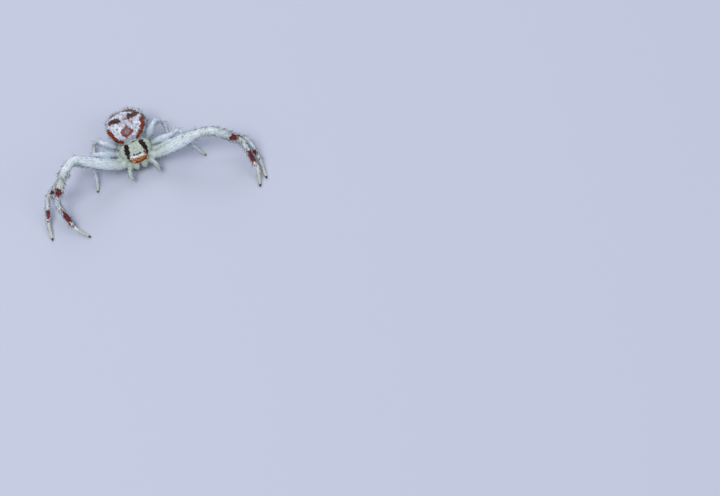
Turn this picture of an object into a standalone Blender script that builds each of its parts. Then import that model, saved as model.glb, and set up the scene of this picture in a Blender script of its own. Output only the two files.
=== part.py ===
# A white-banded crab spider as a still, life-size model, resting on its eight feet.
# The spider faces -Y, its left side is +X and +Z is up. Sizes below are in millimetres
# and become metres where the shapes are made.
# The origin is on the floor, under the middle of the model's box.

import math

import bmesh
import bpy
from mathutils import Matrix, Vector
from mathutils.bvhtree import BVHTree

MM = 0.001
TINY = 1e-6

# Gaps between neighbouring pieces. The animal is so small that they are finer than usual.
GAP = 0.15
EYE_GAP = 0.04

# Fore body: carapace above the margin, breast plate below it.
CARAPACE_WIDTH = 3.0
CARAPACE_FRONT = 1.3
CARAPACE_BACK = 1.35
CARAPACE_TOP = 2.12
MARGIN_HEIGHT = 1.3
BREAST_BOTTOM = 0.72
CARAPACE_SQUARENESS = 2.5
HEAD_NARROWING = 0.34
BACK_SLOPE = 0.5
BACK_SLOPE_START = 0.3
SKIRT_NARROWING = 0.34

# Hind body.
ABDOMEN_CENTRE = Vector((-0.05, 2.42, 1.86))
ABDOMEN_WIDTH = 3.8
ABDOMEN_LENGTH = 3.3
ABDOMEN_HEIGHT = 2.1
ABDOMEN_SQUARENESS = 2.35
ABDOMEN_TURN = 5.0
ABDOMEN_NARROWING = 0.12

SPINNERET_ROOT = Vector((-0.05, 3.75, 1.25))
SPINNERET_LENGTH = 0.62
SPINNERET_RADII = (0.36, 0.2)
SPINNERET_DROP = 28.0

# Eyes: sideways and forward place, and radius. Their height comes from the carapace.
EYES = {
    "front_middle": (0.2, 1.13, 0.1),
    "front_side": (0.66, 1.04, 0.13),
    "back_middle": (0.28, 0.78, 0.1),
    "back_side": (0.68, 0.72, 0.11),
}
EYE_STAND = 0.03

# Jaws: root, middle and tip of the left one, with a radius at each.
JAW_LINE = ((0.4, -0.95, 1.3), (0.39, -1.32, 1.02), (0.31, -1.5, 0.55))
JAW_RADII = (0.3, 0.32, 0.17)

# Feelers: root, bend and tip of each, with a radius at each.
FEELER_LINES = {
    "left": ((0.75, -0.85, 0.92), (1.36, -1.78, 1.0), (1.45, -2.35, 0.45)),
    "right": ((-0.75, -0.85, 0.92), (-1.18, -1.78, 1.0), (-1.08, -2.4, 0.4)),
}
FEELER_RADII = (0.24, 0.25, 0.17)
FEELER_ROUNDING = 0.3

# Leg ring: direction of each hip forward from straight sideways, its reach and height.
HIP_ANGLE = {1: 32, 2: 8, 3: -16, 4: -40}
HIP_REACH = {1: 2.0, 2: 2.0, 3: 1.95, 4: 1.9}
HIP_HEIGHT = {1: 1.2, 2: 0.95, 3: 0.95, 4: 0.95}
HIP_ROOT_REACH = 0.95
HIP_ROOT_HEIGHT = 0.95
HIP_ROOT_RADIUS = 0.25

SEGMENTS = ("femur", "patella", "tibia", "metatarsus", "tarsus")
HIND_JOINED = (("femur",), ("patella", "tibia"), ("metatarsus", "tarsus"))

LENGTHS = {
    1: (4.85, 1.45, 3.02, 2.85, 1.58),
    2: (4.55, 1.49, 2.66, 2.29, 1.64),
    3: (1.65, 0.99, 1.49, 1.0, 0.91),
    4: (1.84, 0.94, 1.56, 1.19, 0.95),
}

# Radii at the start, middle and end of each leg segment, from hip to foot.
TARSUS_RADII = (0.24, 0.22, 0.17)
METATARSUS_RADII = (0.25, 0.25, 0.24)
HIND_RADII = (
    (0.27, 0.34, 0.26),
    (0.25, 0.26, 0.25),
    (0.25, 0.25, 0.25),
    METATARSUS_RADII,
    TARSUS_RADII,
)
RADII = {
    1: ((0.3, 0.52, 0.36), (0.36, 0.37, 0.36), (0.37, 0.35, 0.26), METATARSUS_RADII, TARSUS_RADII),
    2: ((0.28, 0.43, 0.32), (0.32, 0.33, 0.32), (0.32, 0.31, 0.26), METATARSUS_RADII, TARSUS_RADII),
    3: HIND_RADII,
    4: HIND_RADII,
}

# Pose from femur to metatarsus: turn forward from straight sideways, and pitch upward, in degrees.
POSE = {
    "right_1": ((-9, 36), (35, -5), (44, -46), (109, -28)),
    "right_2": ((-7, 22), (68, 8), (15, -34), (70, -24)),
    "right_3": ((3, 38), (-29, -25), (83, -34), (84, -16)),
    "right_4": ((0, 51), (-69, -33), (-52, -57), (80, -14)),
    "left_1": ((9, 28), (26, 18), (20, -41), (79, -26)),
    "left_2": ((8, 16), (26, -1), (29, -20), (79, -23)),
    "left_3": ((12, 22), (-19, -3), (71, -30), (52, -22)),
    "left_4": ((-8, 64), (-63, -39), (-34, -61), (89, -18)),
}

# A tarsus only has a turn, because it is let down until its foot is on the floor.
TARSUS_TURN = {
    "right_1": 132,
    "right_2": 86,
    "right_3": 73,
    "right_4": 60,
    "left_1": 104,
    "left_2": 90,
    "left_3": 53,
    "left_4": 60,
}
SIDES = {"left": 1, "right": -1}

# Feet: each tarsus ends in a short level stretch whose underside is cut flat by the floor.
FOOT_HEIGHT = 0.13
FOOT_LENGTH = 0.4
TIP_ROUNDING = ((0.12, 0.82), (0.05, 0.55), (0.0, 0.25))

JOINT_ROUNDING = 0.34
LARGEST_ROUNDING_SHARE = 0.45
LINE_STEPS = {"femur": 9, "patella": 4, "tibia": 7, "metatarsus": 5, "tarsus": 6}
BEND_STEPS = 4
TUBE_BEVEL_RESOLUTION = 3
FORM_SEGMENTS = 30
FORM_RINGS = 15
EYE_SEGMENTS = 14
EYE_RINGS = 9
SPINNERET_SEGMENTS = 16
SMOOTH_ANGLE = math.radians(50)

COLOURS = {
    "fore_body": ((0.62, 0.68, 0.55), 0.45),
    "abdomen": ((0.86, 0.88, 0.9), 0.5),
    "leg": ((0.8, 0.84, 0.76), 0.45),
    "hind_leg": ((0.68, 0.72, 0.74), 0.4),
    "eye": ((0.03, 0.03, 0.05), 0.15),
    "jaw": ((0.7, 0.74, 0.62), 0.45),
}


# Scene and materials

def clear_scene():
    for obj in list(bpy.data.objects):
        bpy.data.objects.remove(obj, do_unlink=True)


def new_collection(name):
    collection = bpy.data.collections.new(name)
    bpy.context.scene.collection.children.link(collection)
    return collection


def new_material(name, kind):
    colour, roughness = COLOURS[kind]
    material = bpy.data.materials.new(name)
    material.use_nodes = True
    shader = material.node_tree.nodes["Principled BSDF"]
    shader.inputs["Base Color"].default_value = (*colour, 1.0)
    shader.inputs["Roughness"].default_value = roughness
    shader.inputs["Metallic"].default_value = 0.0
    return material


def add_object(name, mesh, collection, kind=None):
    obj = bpy.data.objects.new(name, mesh)
    collection.objects.link(obj)
    if kind:
        mesh.materials.clear()
        mesh.materials.append(new_material(name, kind))
    return obj


def mesh_from(name, bm):
    bmesh.ops.recalc_face_normals(bm, faces=bm.faces)
    mesh = bpy.data.meshes.new(name)
    bm.to_mesh(mesh)
    bm.free()
    mesh.shade_smooth()
    mesh.set_sharp_from_angle(angle=SMOOTH_ANGLE)
    return mesh


def cut_by(obj, cutter):
    modifier = obj.modifiers.new("cut by " + cutter.name, "BOOLEAN")
    modifier.operation = "DIFFERENCE"
    modifier.solver = "EXACT"
    modifier.object = cutter


# Rounded forms of the two body halves

def squared(along, across, squareness):
    """Length that carries a unit circle out to a squarer outline."""
    return (abs(along) ** squareness + abs(across) ** squareness) ** (-1.0 / squareness)


def eased(value):
    value = min(max(value, 0.0), 1.0)
    return value * value * (3.0 - 2.0 * value)


def fore_body_point(unit):
    level = math.hypot(unit.x, unit.y)
    if level < TINY:
        height = CARAPACE_TOP if unit.z > 0 else BREAST_BOTTOM
        return Vector((0.0, 0.0, height))
    outline = squared(unit.x / level, unit.y / level, CARAPACE_SQUARENESS)
    section = squared(level, unit.z, CARAPACE_SQUARENESS)
    reach = level * section * outline
    side = unit.x / level * reach
    forward = -unit.y / level * reach
    rise = unit.z * section
    length = CARAPACE_FRONT if forward > 0 else CARAPACE_BACK
    side *= CARAPACE_WIDTH / 2 * (1.0 - HEAD_NARROWING * eased(forward))
    if unit.z >= 0:
        slope = 1.0 - BACK_SLOPE * eased((-forward - BACK_SLOPE_START) / (1.0 - BACK_SLOPE_START))
        height = MARGIN_HEIGHT + (CARAPACE_TOP - MARGIN_HEIGHT) * rise * slope
    else:
        skirt = 1.0 + SKIRT_NARROWING * rise
        side *= skirt
        forward *= skirt
        height = MARGIN_HEIGHT + (MARGIN_HEIGHT - BREAST_BOTTOM) * rise
    return Vector((side, -forward * length, height))


def abdomen_point(unit):
    level = math.hypot(unit.x, unit.y)
    if level < TINY:
        return ABDOMEN_CENTRE + Vector((0.0, 0.0, math.copysign(ABDOMEN_HEIGHT / 2, unit.z)))
    outline = squared(unit.x / level, unit.y / level, ABDOMEN_SQUARENESS)
    section = squared(level, unit.z, ABDOMEN_SQUARENESS)
    reach = level * section * outline
    side = unit.x / level * reach
    back = unit.y / level * reach
    narrowing = 1.0 - ABDOMEN_NARROWING * eased(-back)
    point = Vector((
        side * narrowing * ABDOMEN_WIDTH / 2,
        back * ABDOMEN_LENGTH / 2,
        unit.z * section * ABDOMEN_HEIGHT / 2,
    ))
    return ABDOMEN_CENTRE + Matrix.Rotation(math.radians(ABDOMEN_TURN), 3, "Z") @ point


def rounded_form(name, shape, grown_by=0.0):
    bm = bmesh.new()
    bmesh.ops.create_uvsphere(bm, u_segments=FORM_SEGMENTS, v_segments=FORM_RINGS, radius=1.0)
    for vertex in bm.verts:
        vertex.co = shape(vertex.co.normalized())
    bmesh.ops.recalc_face_normals(bm, faces=bm.faces)
    bm.normal_update()
    if grown_by:
        moved = [vertex.co + vertex.normal * grown_by for vertex in bm.verts]
        for vertex, place in zip(bm.verts, moved):
            vertex.co = place
    bmesh.ops.scale(bm, vec=(MM, MM, MM), verts=bm.verts)
    return mesh_from(name, bm)


def cutter_form(name, shape, grown_by, collection):
    obj = add_object(name, rounded_form(name, shape, grown_by), collection)
    obj.hide_render = True
    obj.display_type = "WIRE"
    return obj


# Tubes with a radius that changes along their line

def tube_mesh(name, points, radii):
    """A closed mesh along the points, made from a curve whose bevel follows the radii."""
    curve = bpy.data.curves.new(name, "CURVE")
    curve.dimensions = "3D"
    curve.bevel_depth = MM
    curve.bevel_resolution = TUBE_BEVEL_RESOLUTION
    curve.use_fill_caps = True
    spline = curve.splines.new("POLY")
    spline.points.add(len(points) - 1)
    for slot, point, radius in zip(spline.points, points, radii):
        slot.co = (*(point * MM), 1.0)
        slot.radius = radius
    guide = bpy.data.objects.new(name + "_line", curve)
    bpy.context.scene.collection.objects.link(guide)
    evaluated = guide.evaluated_get(bpy.context.evaluated_depsgraph_get())
    raw = bpy.data.meshes.new_from_object(evaluated)
    bm = bmesh.new()
    bm.from_mesh(raw)
    bmesh.ops.remove_doubles(bm, verts=bm.verts, dist=TINY)
    bpy.data.objects.remove(guide, do_unlink=True)
    bpy.data.meshes.remove(raw)
    return bm


def between(values, share):
    """Value at a share from 0 to 1 along three values, changing smoothly."""
    first, middle, last = values
    if share < 0.5:
        return first + (middle - first) * math.sin(math.pi * share)
    return middle + (last - middle) * eased(2.0 * share - 1.0)


class Line:
    """A polyline measured along its length."""

    def __init__(self, points):
        self.points = points
        self.marks = [0.0]
        for start, end in zip(points, points[1:]):
            self.marks.append(self.marks[-1] + (end - start).length)

    def at(self, distance):
        for index in range(len(self.points) - 1):
            if distance <= self.marks[index + 1] or index == len(self.points) - 2:
                span = self.marks[index + 1] - self.marks[index]
                share = (distance - self.marks[index]) / span
                return self.points[index].lerp(self.points[index + 1], share)


def rounded_line(corners, rounding):
    """The line through the corners with each inner one rounded, and the distance of each corner."""
    points = [corners[0]]
    corner_indexes = [0]
    for before, corner, after in zip(corners, corners[1:], corners[2:]):
        shorter = min((corner - before).length, (after - corner).length)
        size = min(rounding, LARGEST_ROUNDING_SHARE * shorter)
        start = corner + (before - corner).normalized() * size
        end = corner + (after - corner).normalized() * size
        for step in range(BEND_STEPS + 1):
            share = step / BEND_STEPS
            points.append(start.lerp(corner, share).lerp(corner.lerp(end, share), share))
        corner_indexes.append(len(points) - 1 - BEND_STEPS // 2)
    points.append(corners[-1])
    corner_indexes.append(len(points) - 1)
    line = Line(points)
    return line, [line.marks[index] for index in corner_indexes]


# Legs

def direction(side, turn, pitch):
    turn, pitch = math.radians(turn), math.radians(pitch)
    return Vector((
        side * math.cos(pitch) * math.cos(turn),
        -math.cos(pitch) * math.sin(turn),
        math.sin(pitch),
    ))


def hip(side, number):
    angle = math.radians(HIP_ANGLE[number])
    reach = HIP_REACH[number]
    return Vector((side * reach * math.cos(angle), -reach * math.sin(angle), HIP_HEIGHT[number]))


def hip_root(side, number):
    angle = math.radians(HIP_ANGLE[number])
    return Vector((
        side * HIP_ROOT_REACH * math.cos(angle),
        -HIP_ROOT_REACH * math.sin(angle),
        HIP_ROOT_HEIGHT,
    ))


def leg_corners(leg):
    """Joints of a leg from hip to foot, and last the heel and tip of its level foot."""
    side_name, number = leg.split("_")
    side, number = SIDES[side_name], int(number)
    corners = [hip(side, number)]
    for length, (turn, pitch) in zip(LENGTHS[number], POSE[leg]):
        corners.append(corners[-1] + direction(side, turn, pitch) * length)
    length = LENGTHS[number][-1] - FOOT_LENGTH
    turn = TARSUS_TURN[leg]
    drop = (FOOT_HEIGHT - corners[-1].z) / length
    corners.append(corners[-1] + direction(side, turn, math.degrees(math.asin(drop))) * length)
    corners.append(corners[-1] + direction(side, turn, 0.0) * FOOT_LENGTH)
    return corners


def segment_profile(line, marks, number, index, start, end):
    """Points and radii of one segment between two distances along the leg."""
    steps = LINE_STEPS[SEGMENTS[index]]
    low, high = marks[index], marks[index + 1]
    profile = []
    for step in range(steps + 1):
        distance = start + (end - start) * step / steps
        share = (distance - low) / (high - low)
        profile.append((line.at(distance), between(RADII[number][index], share)))
    return profile


def round_tip(line, profile):
    """Ends the profile with a few smaller rings, so the foot is rounded off."""
    last_radius = profile[-1][1]
    end = line.marks[-1]
    profile.pop()
    for distance, scale in TIP_ROUNDING:
        profile.append((line.at(end - distance), last_radius * scale))


def cut_at_floor(bm):
    """Cuts away what would be under the floor and closes the flat that is left."""
    geometry = bm.verts[:] + bm.edges[:] + bm.faces[:]
    bmesh.ops.bisect_plane(
        bm, geom=geometry, dist=TINY * MM, plane_co=(0, 0, 0), plane_no=(0, 0, 1), clear_inner=True
    )
    rim = [edge for edge in bm.edges if edge.is_boundary]
    if rim:
        bmesh.ops.holes_fill(bm, edges=rim, sides=0)


def node_groups(number):
    if number <= 2:
        return [(name,) for name in SEGMENTS]
    return HIND_JOINED


def make_leg(leg, parts, fore_body_cutter):
    side_name, number = leg.split("_")
    side, number = SIDES[side_name], int(number)
    corners = leg_corners(leg)
    line, marks = rounded_line(corners, JOINT_ROUNDING)
    heel = len(SEGMENTS)
    marks.pop(heel)
    kind = "leg" if number <= 2 else "hind_leg"

    for group in node_groups(number):
        first = SEGMENTS.index(group[0])
        last = SEGMENTS.index(group[-1])
        profile = []
        for index in range(first, last + 1):
            start = marks[index] + (GAP / 2 if index == first else 0.0)
            end = marks[index + 1]
            if index == last and SEGMENTS[index] != "tarsus":
                end -= GAP / 2
            stretch = segment_profile(line, marks, number, index, start, end)
            profile.extend(stretch if index == first else stretch[1:])
        if SEGMENTS[last] == "tarsus":
            round_tip(line, profile)
        name = leg + "_" + group[-1]
        bm = tube_mesh(name, *zip(*profile))
        if SEGMENTS[last] == "tarsus":
            cut_at_floor(bm)
        add_object(name, mesh_from(name, bm), parts, kind)

    # The hip joint's tube starts inside the fore body and is cut clear of it.
    root, end = hip_root(side, number), corners[0]
    end = end - (end - root).normalized() * GAP / 2
    steps = LINE_STEPS["patella"]
    shares = [step / steps for step in range(steps + 1)]
    points = [root.lerp(end, share) for share in shares]
    tip_radius = RADII[number][0][0]
    radii = [HIP_ROOT_RADIUS + (tip_radius - HIP_ROOT_RADIUS) * share for share in shares]
    name = leg + "_coxa"
    coxa = add_object(name, mesh_from(name, tube_mesh(name, points, radii)), parts, kind)
    cut_by(coxa, fore_body_cutter)


# Head pieces

def make_jaw(side_name, parts, fore_body_cutter):
    side = SIDES[side_name]
    corners = [Vector((side * x, y, z)) for x, y, z in JAW_LINE]
    line, _ = rounded_line(corners, JOINT_ROUNDING)
    steps = LINE_STEPS["femur"]
    profile = []
    for step in range(steps + 1):
        share = step / steps
        profile.append((line.at(line.marks[-1] * share), between(JAW_RADII, share)))
    round_tip(line, profile)
    name = "jaw_" + side_name
    jaw = add_object(name, mesh_from(name, tube_mesh(name, *zip(*profile))), parts, "jaw")
    cut_by(jaw, fore_body_cutter)


def make_feeler(side_name, parts, fore_body_cutter):
    corners = [Vector(corner) for corner in FEELER_LINES[side_name]]
    line, marks = rounded_line(corners, FEELER_ROUNDING)
    root_radius, bend_radius, tip_radius = FEELER_RADII
    lengths = {
        "base": (0.0, marks[1] - GAP / 2, root_radius, bend_radius),
        "tip": (marks[1] + GAP / 2, marks[2], bend_radius, tip_radius),
    }
    steps = LINE_STEPS["metatarsus"]
    for part_name, (start, end, first_radius, last_radius) in lengths.items():
        profile = []
        for step in range(steps + 1):
            share = step / steps
            radius = first_radius + (last_radius - first_radius) * share
            profile.append((line.at(start + (end - start) * share), radius))
        if part_name == "tip":
            round_tip(line, profile)
        name = f"feeler_{side_name}_{part_name}"
        feeler = add_object(name, mesh_from(name, tube_mesh(name, *zip(*profile))), parts, "leg")
        if part_name == "base":
            cut_by(feeler, fore_body_cutter)


def make_eye(name, side, place, surface, parts, eye_cutter):
    across, forward, radius = place
    above = Vector((side * across, -forward, CARAPACE_TOP + 1.0)) * MM
    hit, normal, _, _ = surface.ray_cast(above, Vector((0, 0, -1)))
    bm = bmesh.new()
    bmesh.ops.create_uvsphere(
        bm, u_segments=EYE_SEGMENTS, v_segments=EYE_RINGS, radius=radius * MM
    )
    bmesh.ops.translate(bm, vec=hit + normal * EYE_STAND * MM, verts=bm.verts)
    eye = add_object(name, mesh_from(name, bm), parts, "eye")
    cut_by(eye, eye_cutter)


def make_spinnerets(parts, abdomen_cutter):
    first, last = SPINNERET_RADII
    bm = bmesh.new()
    bmesh.ops.create_cone(
        bm,
        cap_ends=True,
        segments=SPINNERET_SEGMENTS,
        radius1=first * MM,
        radius2=last * MM,
        depth=SPINNERET_LENGTH * MM,
    )
    # The cone points along +Z. It is laid back and let droop before it is set in place.
    turn = Matrix.Rotation(math.radians(-90 - SPINNERET_DROP), 4, "X")
    place = Matrix.Translation(SPINNERET_ROOT * MM) @ turn
    bmesh.ops.transform(bm, matrix=place, verts=bm.verts)
    spinnerets = add_object("spinnerets", mesh_from("spinnerets", bm), parts, "leg")
    cut_by(spinnerets, abdomen_cutter)


# Placing

def centre_on_floor(parts, cutters):
    """Moves everything so that the origin is under the middle of the box."""
    corners = [vertex.co for obj in parts.objects for vertex in obj.data.vertices]
    middle_x = (min(c.x for c in corners) + max(c.x for c in corners)) / 2
    middle_y = (min(c.y for c in corners) + max(c.y for c in corners)) / 2
    shift = Matrix.Translation((-middle_x, -middle_y, 0))
    for obj in list(parts.objects) + list(cutters.objects):
        obj.data.transform(shift)


def main():
    clear_scene()
    parts = new_collection("crab spider")
    cutters = new_collection("cutters")

    fore_body_cutter = cutter_form("fore_body_cutter", fore_body_point, GAP, cutters)
    eye_cutter = cutter_form("eye_cutter", fore_body_point, EYE_GAP, cutters)
    abdomen_cutter = cutter_form("abdomen_cutter", abdomen_point, GAP, cutters)

    prosoma = add_object("prosoma", rounded_form("prosoma", fore_body_point), parts, "fore_body")
    abdomen = add_object("abdomen", rounded_form("abdomen", abdomen_point), parts, "abdomen")
    cut_by(abdomen, fore_body_cutter)
    make_spinnerets(parts, abdomen_cutter)

    body = bmesh.new()
    body.from_mesh(prosoma.data)
    surface = BVHTree.FromBMesh(body)
    for side_name, side in SIDES.items():
        for eye_name, place in EYES.items():
            make_eye(f"eye_{eye_name}_{side_name}", side, place, surface, parts, eye_cutter)
        make_jaw(side_name, parts, fore_body_cutter)
        make_feeler(side_name, parts, fore_body_cutter)
    body.free()

    for leg in POSE:
        make_leg(leg, parts, fore_body_cutter)

    centre_on_floor(parts, cutters)


main()
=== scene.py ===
import math

import bmesh
import bpy
import numpy as np
from mathutils import Matrix, Vector, noise
from mathutils.bvhtree import BVHTree
from mathutils.kdtree import KDTree


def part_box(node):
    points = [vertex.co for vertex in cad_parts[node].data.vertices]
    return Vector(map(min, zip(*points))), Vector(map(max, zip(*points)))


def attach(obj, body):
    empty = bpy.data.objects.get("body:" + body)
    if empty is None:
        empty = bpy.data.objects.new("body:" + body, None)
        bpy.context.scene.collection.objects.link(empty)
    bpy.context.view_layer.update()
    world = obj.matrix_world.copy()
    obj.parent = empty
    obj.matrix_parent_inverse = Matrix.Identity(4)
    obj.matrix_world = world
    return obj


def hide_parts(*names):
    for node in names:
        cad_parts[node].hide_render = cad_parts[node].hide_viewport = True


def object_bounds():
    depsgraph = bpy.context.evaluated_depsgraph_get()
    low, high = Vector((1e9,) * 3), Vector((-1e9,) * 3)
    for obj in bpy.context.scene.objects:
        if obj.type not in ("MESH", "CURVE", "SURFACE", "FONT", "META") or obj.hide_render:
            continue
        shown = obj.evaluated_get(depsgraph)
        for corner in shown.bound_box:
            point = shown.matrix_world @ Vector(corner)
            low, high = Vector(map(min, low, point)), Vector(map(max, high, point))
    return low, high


# A white-banded crab spider, life size. Places and sizes below are in millimetres from the
# point on the floor under the middle of the carapace: +X is the spider's left, -Y its front.
mm = 0.001

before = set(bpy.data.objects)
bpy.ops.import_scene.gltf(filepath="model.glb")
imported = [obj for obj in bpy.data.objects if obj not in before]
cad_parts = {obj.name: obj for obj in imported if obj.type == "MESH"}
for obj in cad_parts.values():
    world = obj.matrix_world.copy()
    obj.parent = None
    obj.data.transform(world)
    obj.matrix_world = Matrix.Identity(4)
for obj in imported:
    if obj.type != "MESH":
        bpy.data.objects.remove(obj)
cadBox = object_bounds()
print("frame loaded:", len(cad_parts), "nodes")


# the two body halves

foreBody = {
    "width": 3.0, "front": 1.3, "back": 1.35, "top": 2.12, "margin": 1.3, "bottom": 0.72,
    "squareness": 2.5, "headNarrowing": 0.34, "backSlope": 0.5, "slopeStart": 0.3,
    "skirtNarrowing": 0.34, "inset": 0.02,
}
hindBody = {
    "centre": Vector((-0.05, 2.42, 1.86)), "width": 3.8, "length": 3.3, "height": 2.1,
    "squareness": 2.35, "turn": 5.0, "narrowing": 0.12, "inset": 0.02, "frontCut": 0.07,
}

proLow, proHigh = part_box("prosoma")
bodyMiddle = Vector(((proLow.x + proHigh.x) / 2, proLow.y + foreBody["front"] * mm, 0.0))
toWorld = Matrix.Translation(bodyMiddle) @ Matrix.Scale(mm, 4)
upward = Vector((0, 0, 1))


def eased(value):
    value = min(max(value, 0.0), 1.0)
    return value * value * (3.0 - 2.0 * value)


def squared(along, across, squareness):
    return (abs(along) ** squareness + abs(across) ** squareness) ** (-1.0 / squareness)


def foreBodyPoint(unit):
    form = foreBody
    level = math.hypot(unit.x, unit.y)
    if level < 1e-6:
        return Vector((0.0, 0.0, form["top"] if unit.z > 0 else form["bottom"]))
    section = squared(level, unit.z, form["squareness"])
    reach = level * section * squared(unit.x / level, unit.y / level, form["squareness"])
    side = unit.x / level * reach
    forward = -unit.y / level * reach
    rise = unit.z * section
    length = form["front"] if forward > 0 else form["back"]
    side *= form["width"] / 2 * (1.0 - form["headNarrowing"] * eased(forward))
    if unit.z >= 0:
        behind = (-forward - form["slopeStart"]) / (1.0 - form["slopeStart"])
        slope = 1.0 - form["backSlope"] * eased(behind)
        height = form["margin"] + (form["top"] - form["margin"]) * rise * slope
    else:
        skirt = 1.0 + form["skirtNarrowing"] * rise
        side *= skirt
        forward *= skirt
        height = form["margin"] + (form["margin"] - form["bottom"]) * rise
    return Vector((side, -forward * length, height))


def hindBodyPoint(unit):
    form = hindBody
    level = math.hypot(unit.x, unit.y)
    if level < 1e-6:
        return form["centre"] + Vector((0.0, 0.0, math.copysign(form["height"] / 2, unit.z)))
    section = squared(level, unit.z, form["squareness"])
    reach = level * section * squared(unit.x / level, unit.y / level, form["squareness"])
    back = unit.y / level * reach
    side = unit.x / level * reach * (1.0 - form["narrowing"] * eased(-back))
    rise = unit.z * section
    point = Vector((side * form["width"] / 2, back * form["length"] / 2, rise * form["height"] / 2))
    return form["centre"] + Matrix.Rotation(math.radians(form["turn"]), 3, "Z") @ point


def bodyForm(shape, inset, segments=96, rings=48):
    bm = bmesh.new()
    bmesh.ops.create_uvsphere(bm, u_segments=segments, v_segments=rings, radius=1.0)
    for vertex in bm.verts:
        vertex.co = shape(vertex.co.normalized())
    bmesh.ops.recalc_face_normals(bm, faces=bm.faces)
    bm.normal_update()
    moved = [vertex.co - vertex.normal * inset for vertex in bm.verts]
    for vertex, place in zip(bm.verts, moved):
        vertex.co = place
    return bm


# tubes along a line

def tubeForm(points, radii, sides=18):
    bm = bmesh.new()
    rings = []
    side = None
    for index, (point, radius) in enumerate(zip(points, radii)):
        ahead = points[min(index + 1, len(points) - 1)] - points[max(index - 1, 0)]
        ahead.normalize()
        if side is None:
            side = ahead.orthogonal().normalized()
        side = (side - ahead * side.dot(ahead)).normalized()
        across = ahead.cross(side)
        ring = []
        for step in range(sides):
            turn = 2 * math.pi * step / sides
            outward = side * math.cos(turn) + across * math.sin(turn)
            ring.append(bm.verts.new(point + outward * radius))
        rings.append(ring)
    for first, second in zip(rings, rings[1:]):
        for step in range(sides):
            after = (step + 1) % sides
            bm.faces.new((first[step], first[after], second[after], second[step]))
    bm.faces.new(list(reversed(rings[0])))
    bm.faces.new(rings[-1])
    return bm


def between(values, share):
    first, middle, last = values
    if share < 0.5:
        return first + (middle - first) * math.sin(math.pi * share)
    return middle + (last - middle) * eased(2.0 * share - 1.0)


def roundedEnd(radius, left, least):
    # the last stretch of a tube closes like a ball
    if left >= radius:
        return radius
    return radius * math.sqrt(max(1.0 - (1.0 - left / radius) ** 2, least))


def sidesOf(ahead):
    # the level and the upright direction square to a line
    level = ahead.cross(upward).normalized()
    return level, level.cross(ahead)


def roundedLine(corners, rounding, bendSteps=6):
    points = [corners[0]]
    cornerIndexes = [0]
    for before, corner, after in zip(corners, corners[1:], corners[2:]):
        shorter = min((corner - before).length, (after - corner).length)
        size = min(rounding, 0.45 * shorter)
        start = corner + (before - corner).normalized() * size
        end = corner + (after - corner).normalized() * size
        for step in range(bendSteps + 1):
            share = step / bendSteps
            points.append(start.lerp(corner, share).lerp(corner.lerp(end, share), share))
        cornerIndexes.append(len(points) - 1 - bendSteps // 2)
    points.append(corners[-1])
    cornerIndexes.append(len(points) - 1)
    distances = [0.0]
    for start, end in zip(points, points[1:]):
        distances.append(distances[-1] + (end - start).length)
    return points, distances, [distances[index] for index in cornerIndexes]


def placeAlong(points, distances, wanted):
    for index in range(len(points) - 1):
        if wanted <= distances[index + 1] or index == len(points) - 2:
            span = distances[index + 1] - distances[index]
            return points[index].lerp(points[index + 1], (wanted - distances[index]) / span)


# legs: the joints stand where the CAD has them, and the skin is as slim as in the photo

legPlan = {
    "hipAngle": {1: 32, 2: 8, 3: -16, 4: -40},
    "hipReach": {1: 2.0, 2: 2.0, 3: 1.95, 4: 1.9},
    "hipHeight": {1: 1.2, 2: 0.95, 3: 0.95, 4: 0.95},
    "rootReach": 0.95, "rootHeight": 0.95,
    "lengths": {
        1: (4.85, 1.45, 3.02, 2.85, 1.58),
        2: (4.55, 1.49, 2.66, 2.29, 1.64),
        3: (1.65, 0.99, 1.49, 1.0, 0.91),
        4: (1.84, 0.94, 1.56, 1.19, 0.95),
    },
    "pose": {
        "right_1": ((-9, 36), (35, -5), (44, -46), (109, -28)),
        "right_2": ((-7, 22), (68, 8), (15, -34), (70, -24)),
        "right_3": ((3, 38), (-29, -25), (83, -34), (84, -16)),
        "right_4": ((0, 51), (-69, -33), (-52, -57), (80, -14)),
        "left_1": ((9, 28), (26, 18), (20, -41), (79, -26)),
        "left_2": ((8, 16), (26, -1), (29, -20), (79, -23)),
        "left_3": ((12, 22), (-19, -3), (71, -30), (52, -22)),
        "left_4": ((-8, 64), (-63, -39), (-34, -61), (89, -18)),
    },
    "tarsusTurn": {
        "right_1": 132, "right_2": 86, "right_3": 73, "right_4": 60,
        "left_1": 104, "left_2": 90, "left_3": 53, "left_4": 60,
    },
    "footHeight": 0.13, "footLength": 0.4, "rounding": 0.34,
    # radii at the start, middle and end of coxa, femur, patella, tibia, metatarsus and tarsus
    "radii": {
        1: ((0.32, 0.36, 0.34), (0.34, 0.505, 0.35), (0.35, 0.362, 0.35), (0.355, 0.335, 0.265),
            (0.225, 0.22, 0.195), (0.175, 0.155, 0.12)),
        2: ((0.29, 0.32, 0.3), (0.3, 0.415, 0.31), (0.31, 0.32, 0.31), (0.31, 0.29, 0.24),
            (0.21, 0.2, 0.18), (0.168, 0.15, 0.118)),
        3: ((0.25, 0.28, 0.27), (0.27, 0.335, 0.25), (0.22, 0.23, 0.21), (0.205, 0.2, 0.18),
            (0.165, 0.165, 0.155), (0.15, 0.145, 0.12)),
        4: ((0.25, 0.27, 0.26), (0.26, 0.33, 0.25), (0.22, 0.23, 0.21), (0.205, 0.2, 0.18),
            (0.165, 0.165, 0.155), (0.15, 0.145, 0.12)),
    },
    "pinch": 0.13, "pinchLength": 0.075, "step": 0.07, "endShare": 0.02,
}
frontLegs = ("right_1", "left_1", "right_2", "left_2")
sideSigns = {"left": 1, "right": -1}
segmentNames = ("coxa", "femur", "patella", "tibia", "metatarsus", "tarsus")


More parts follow.
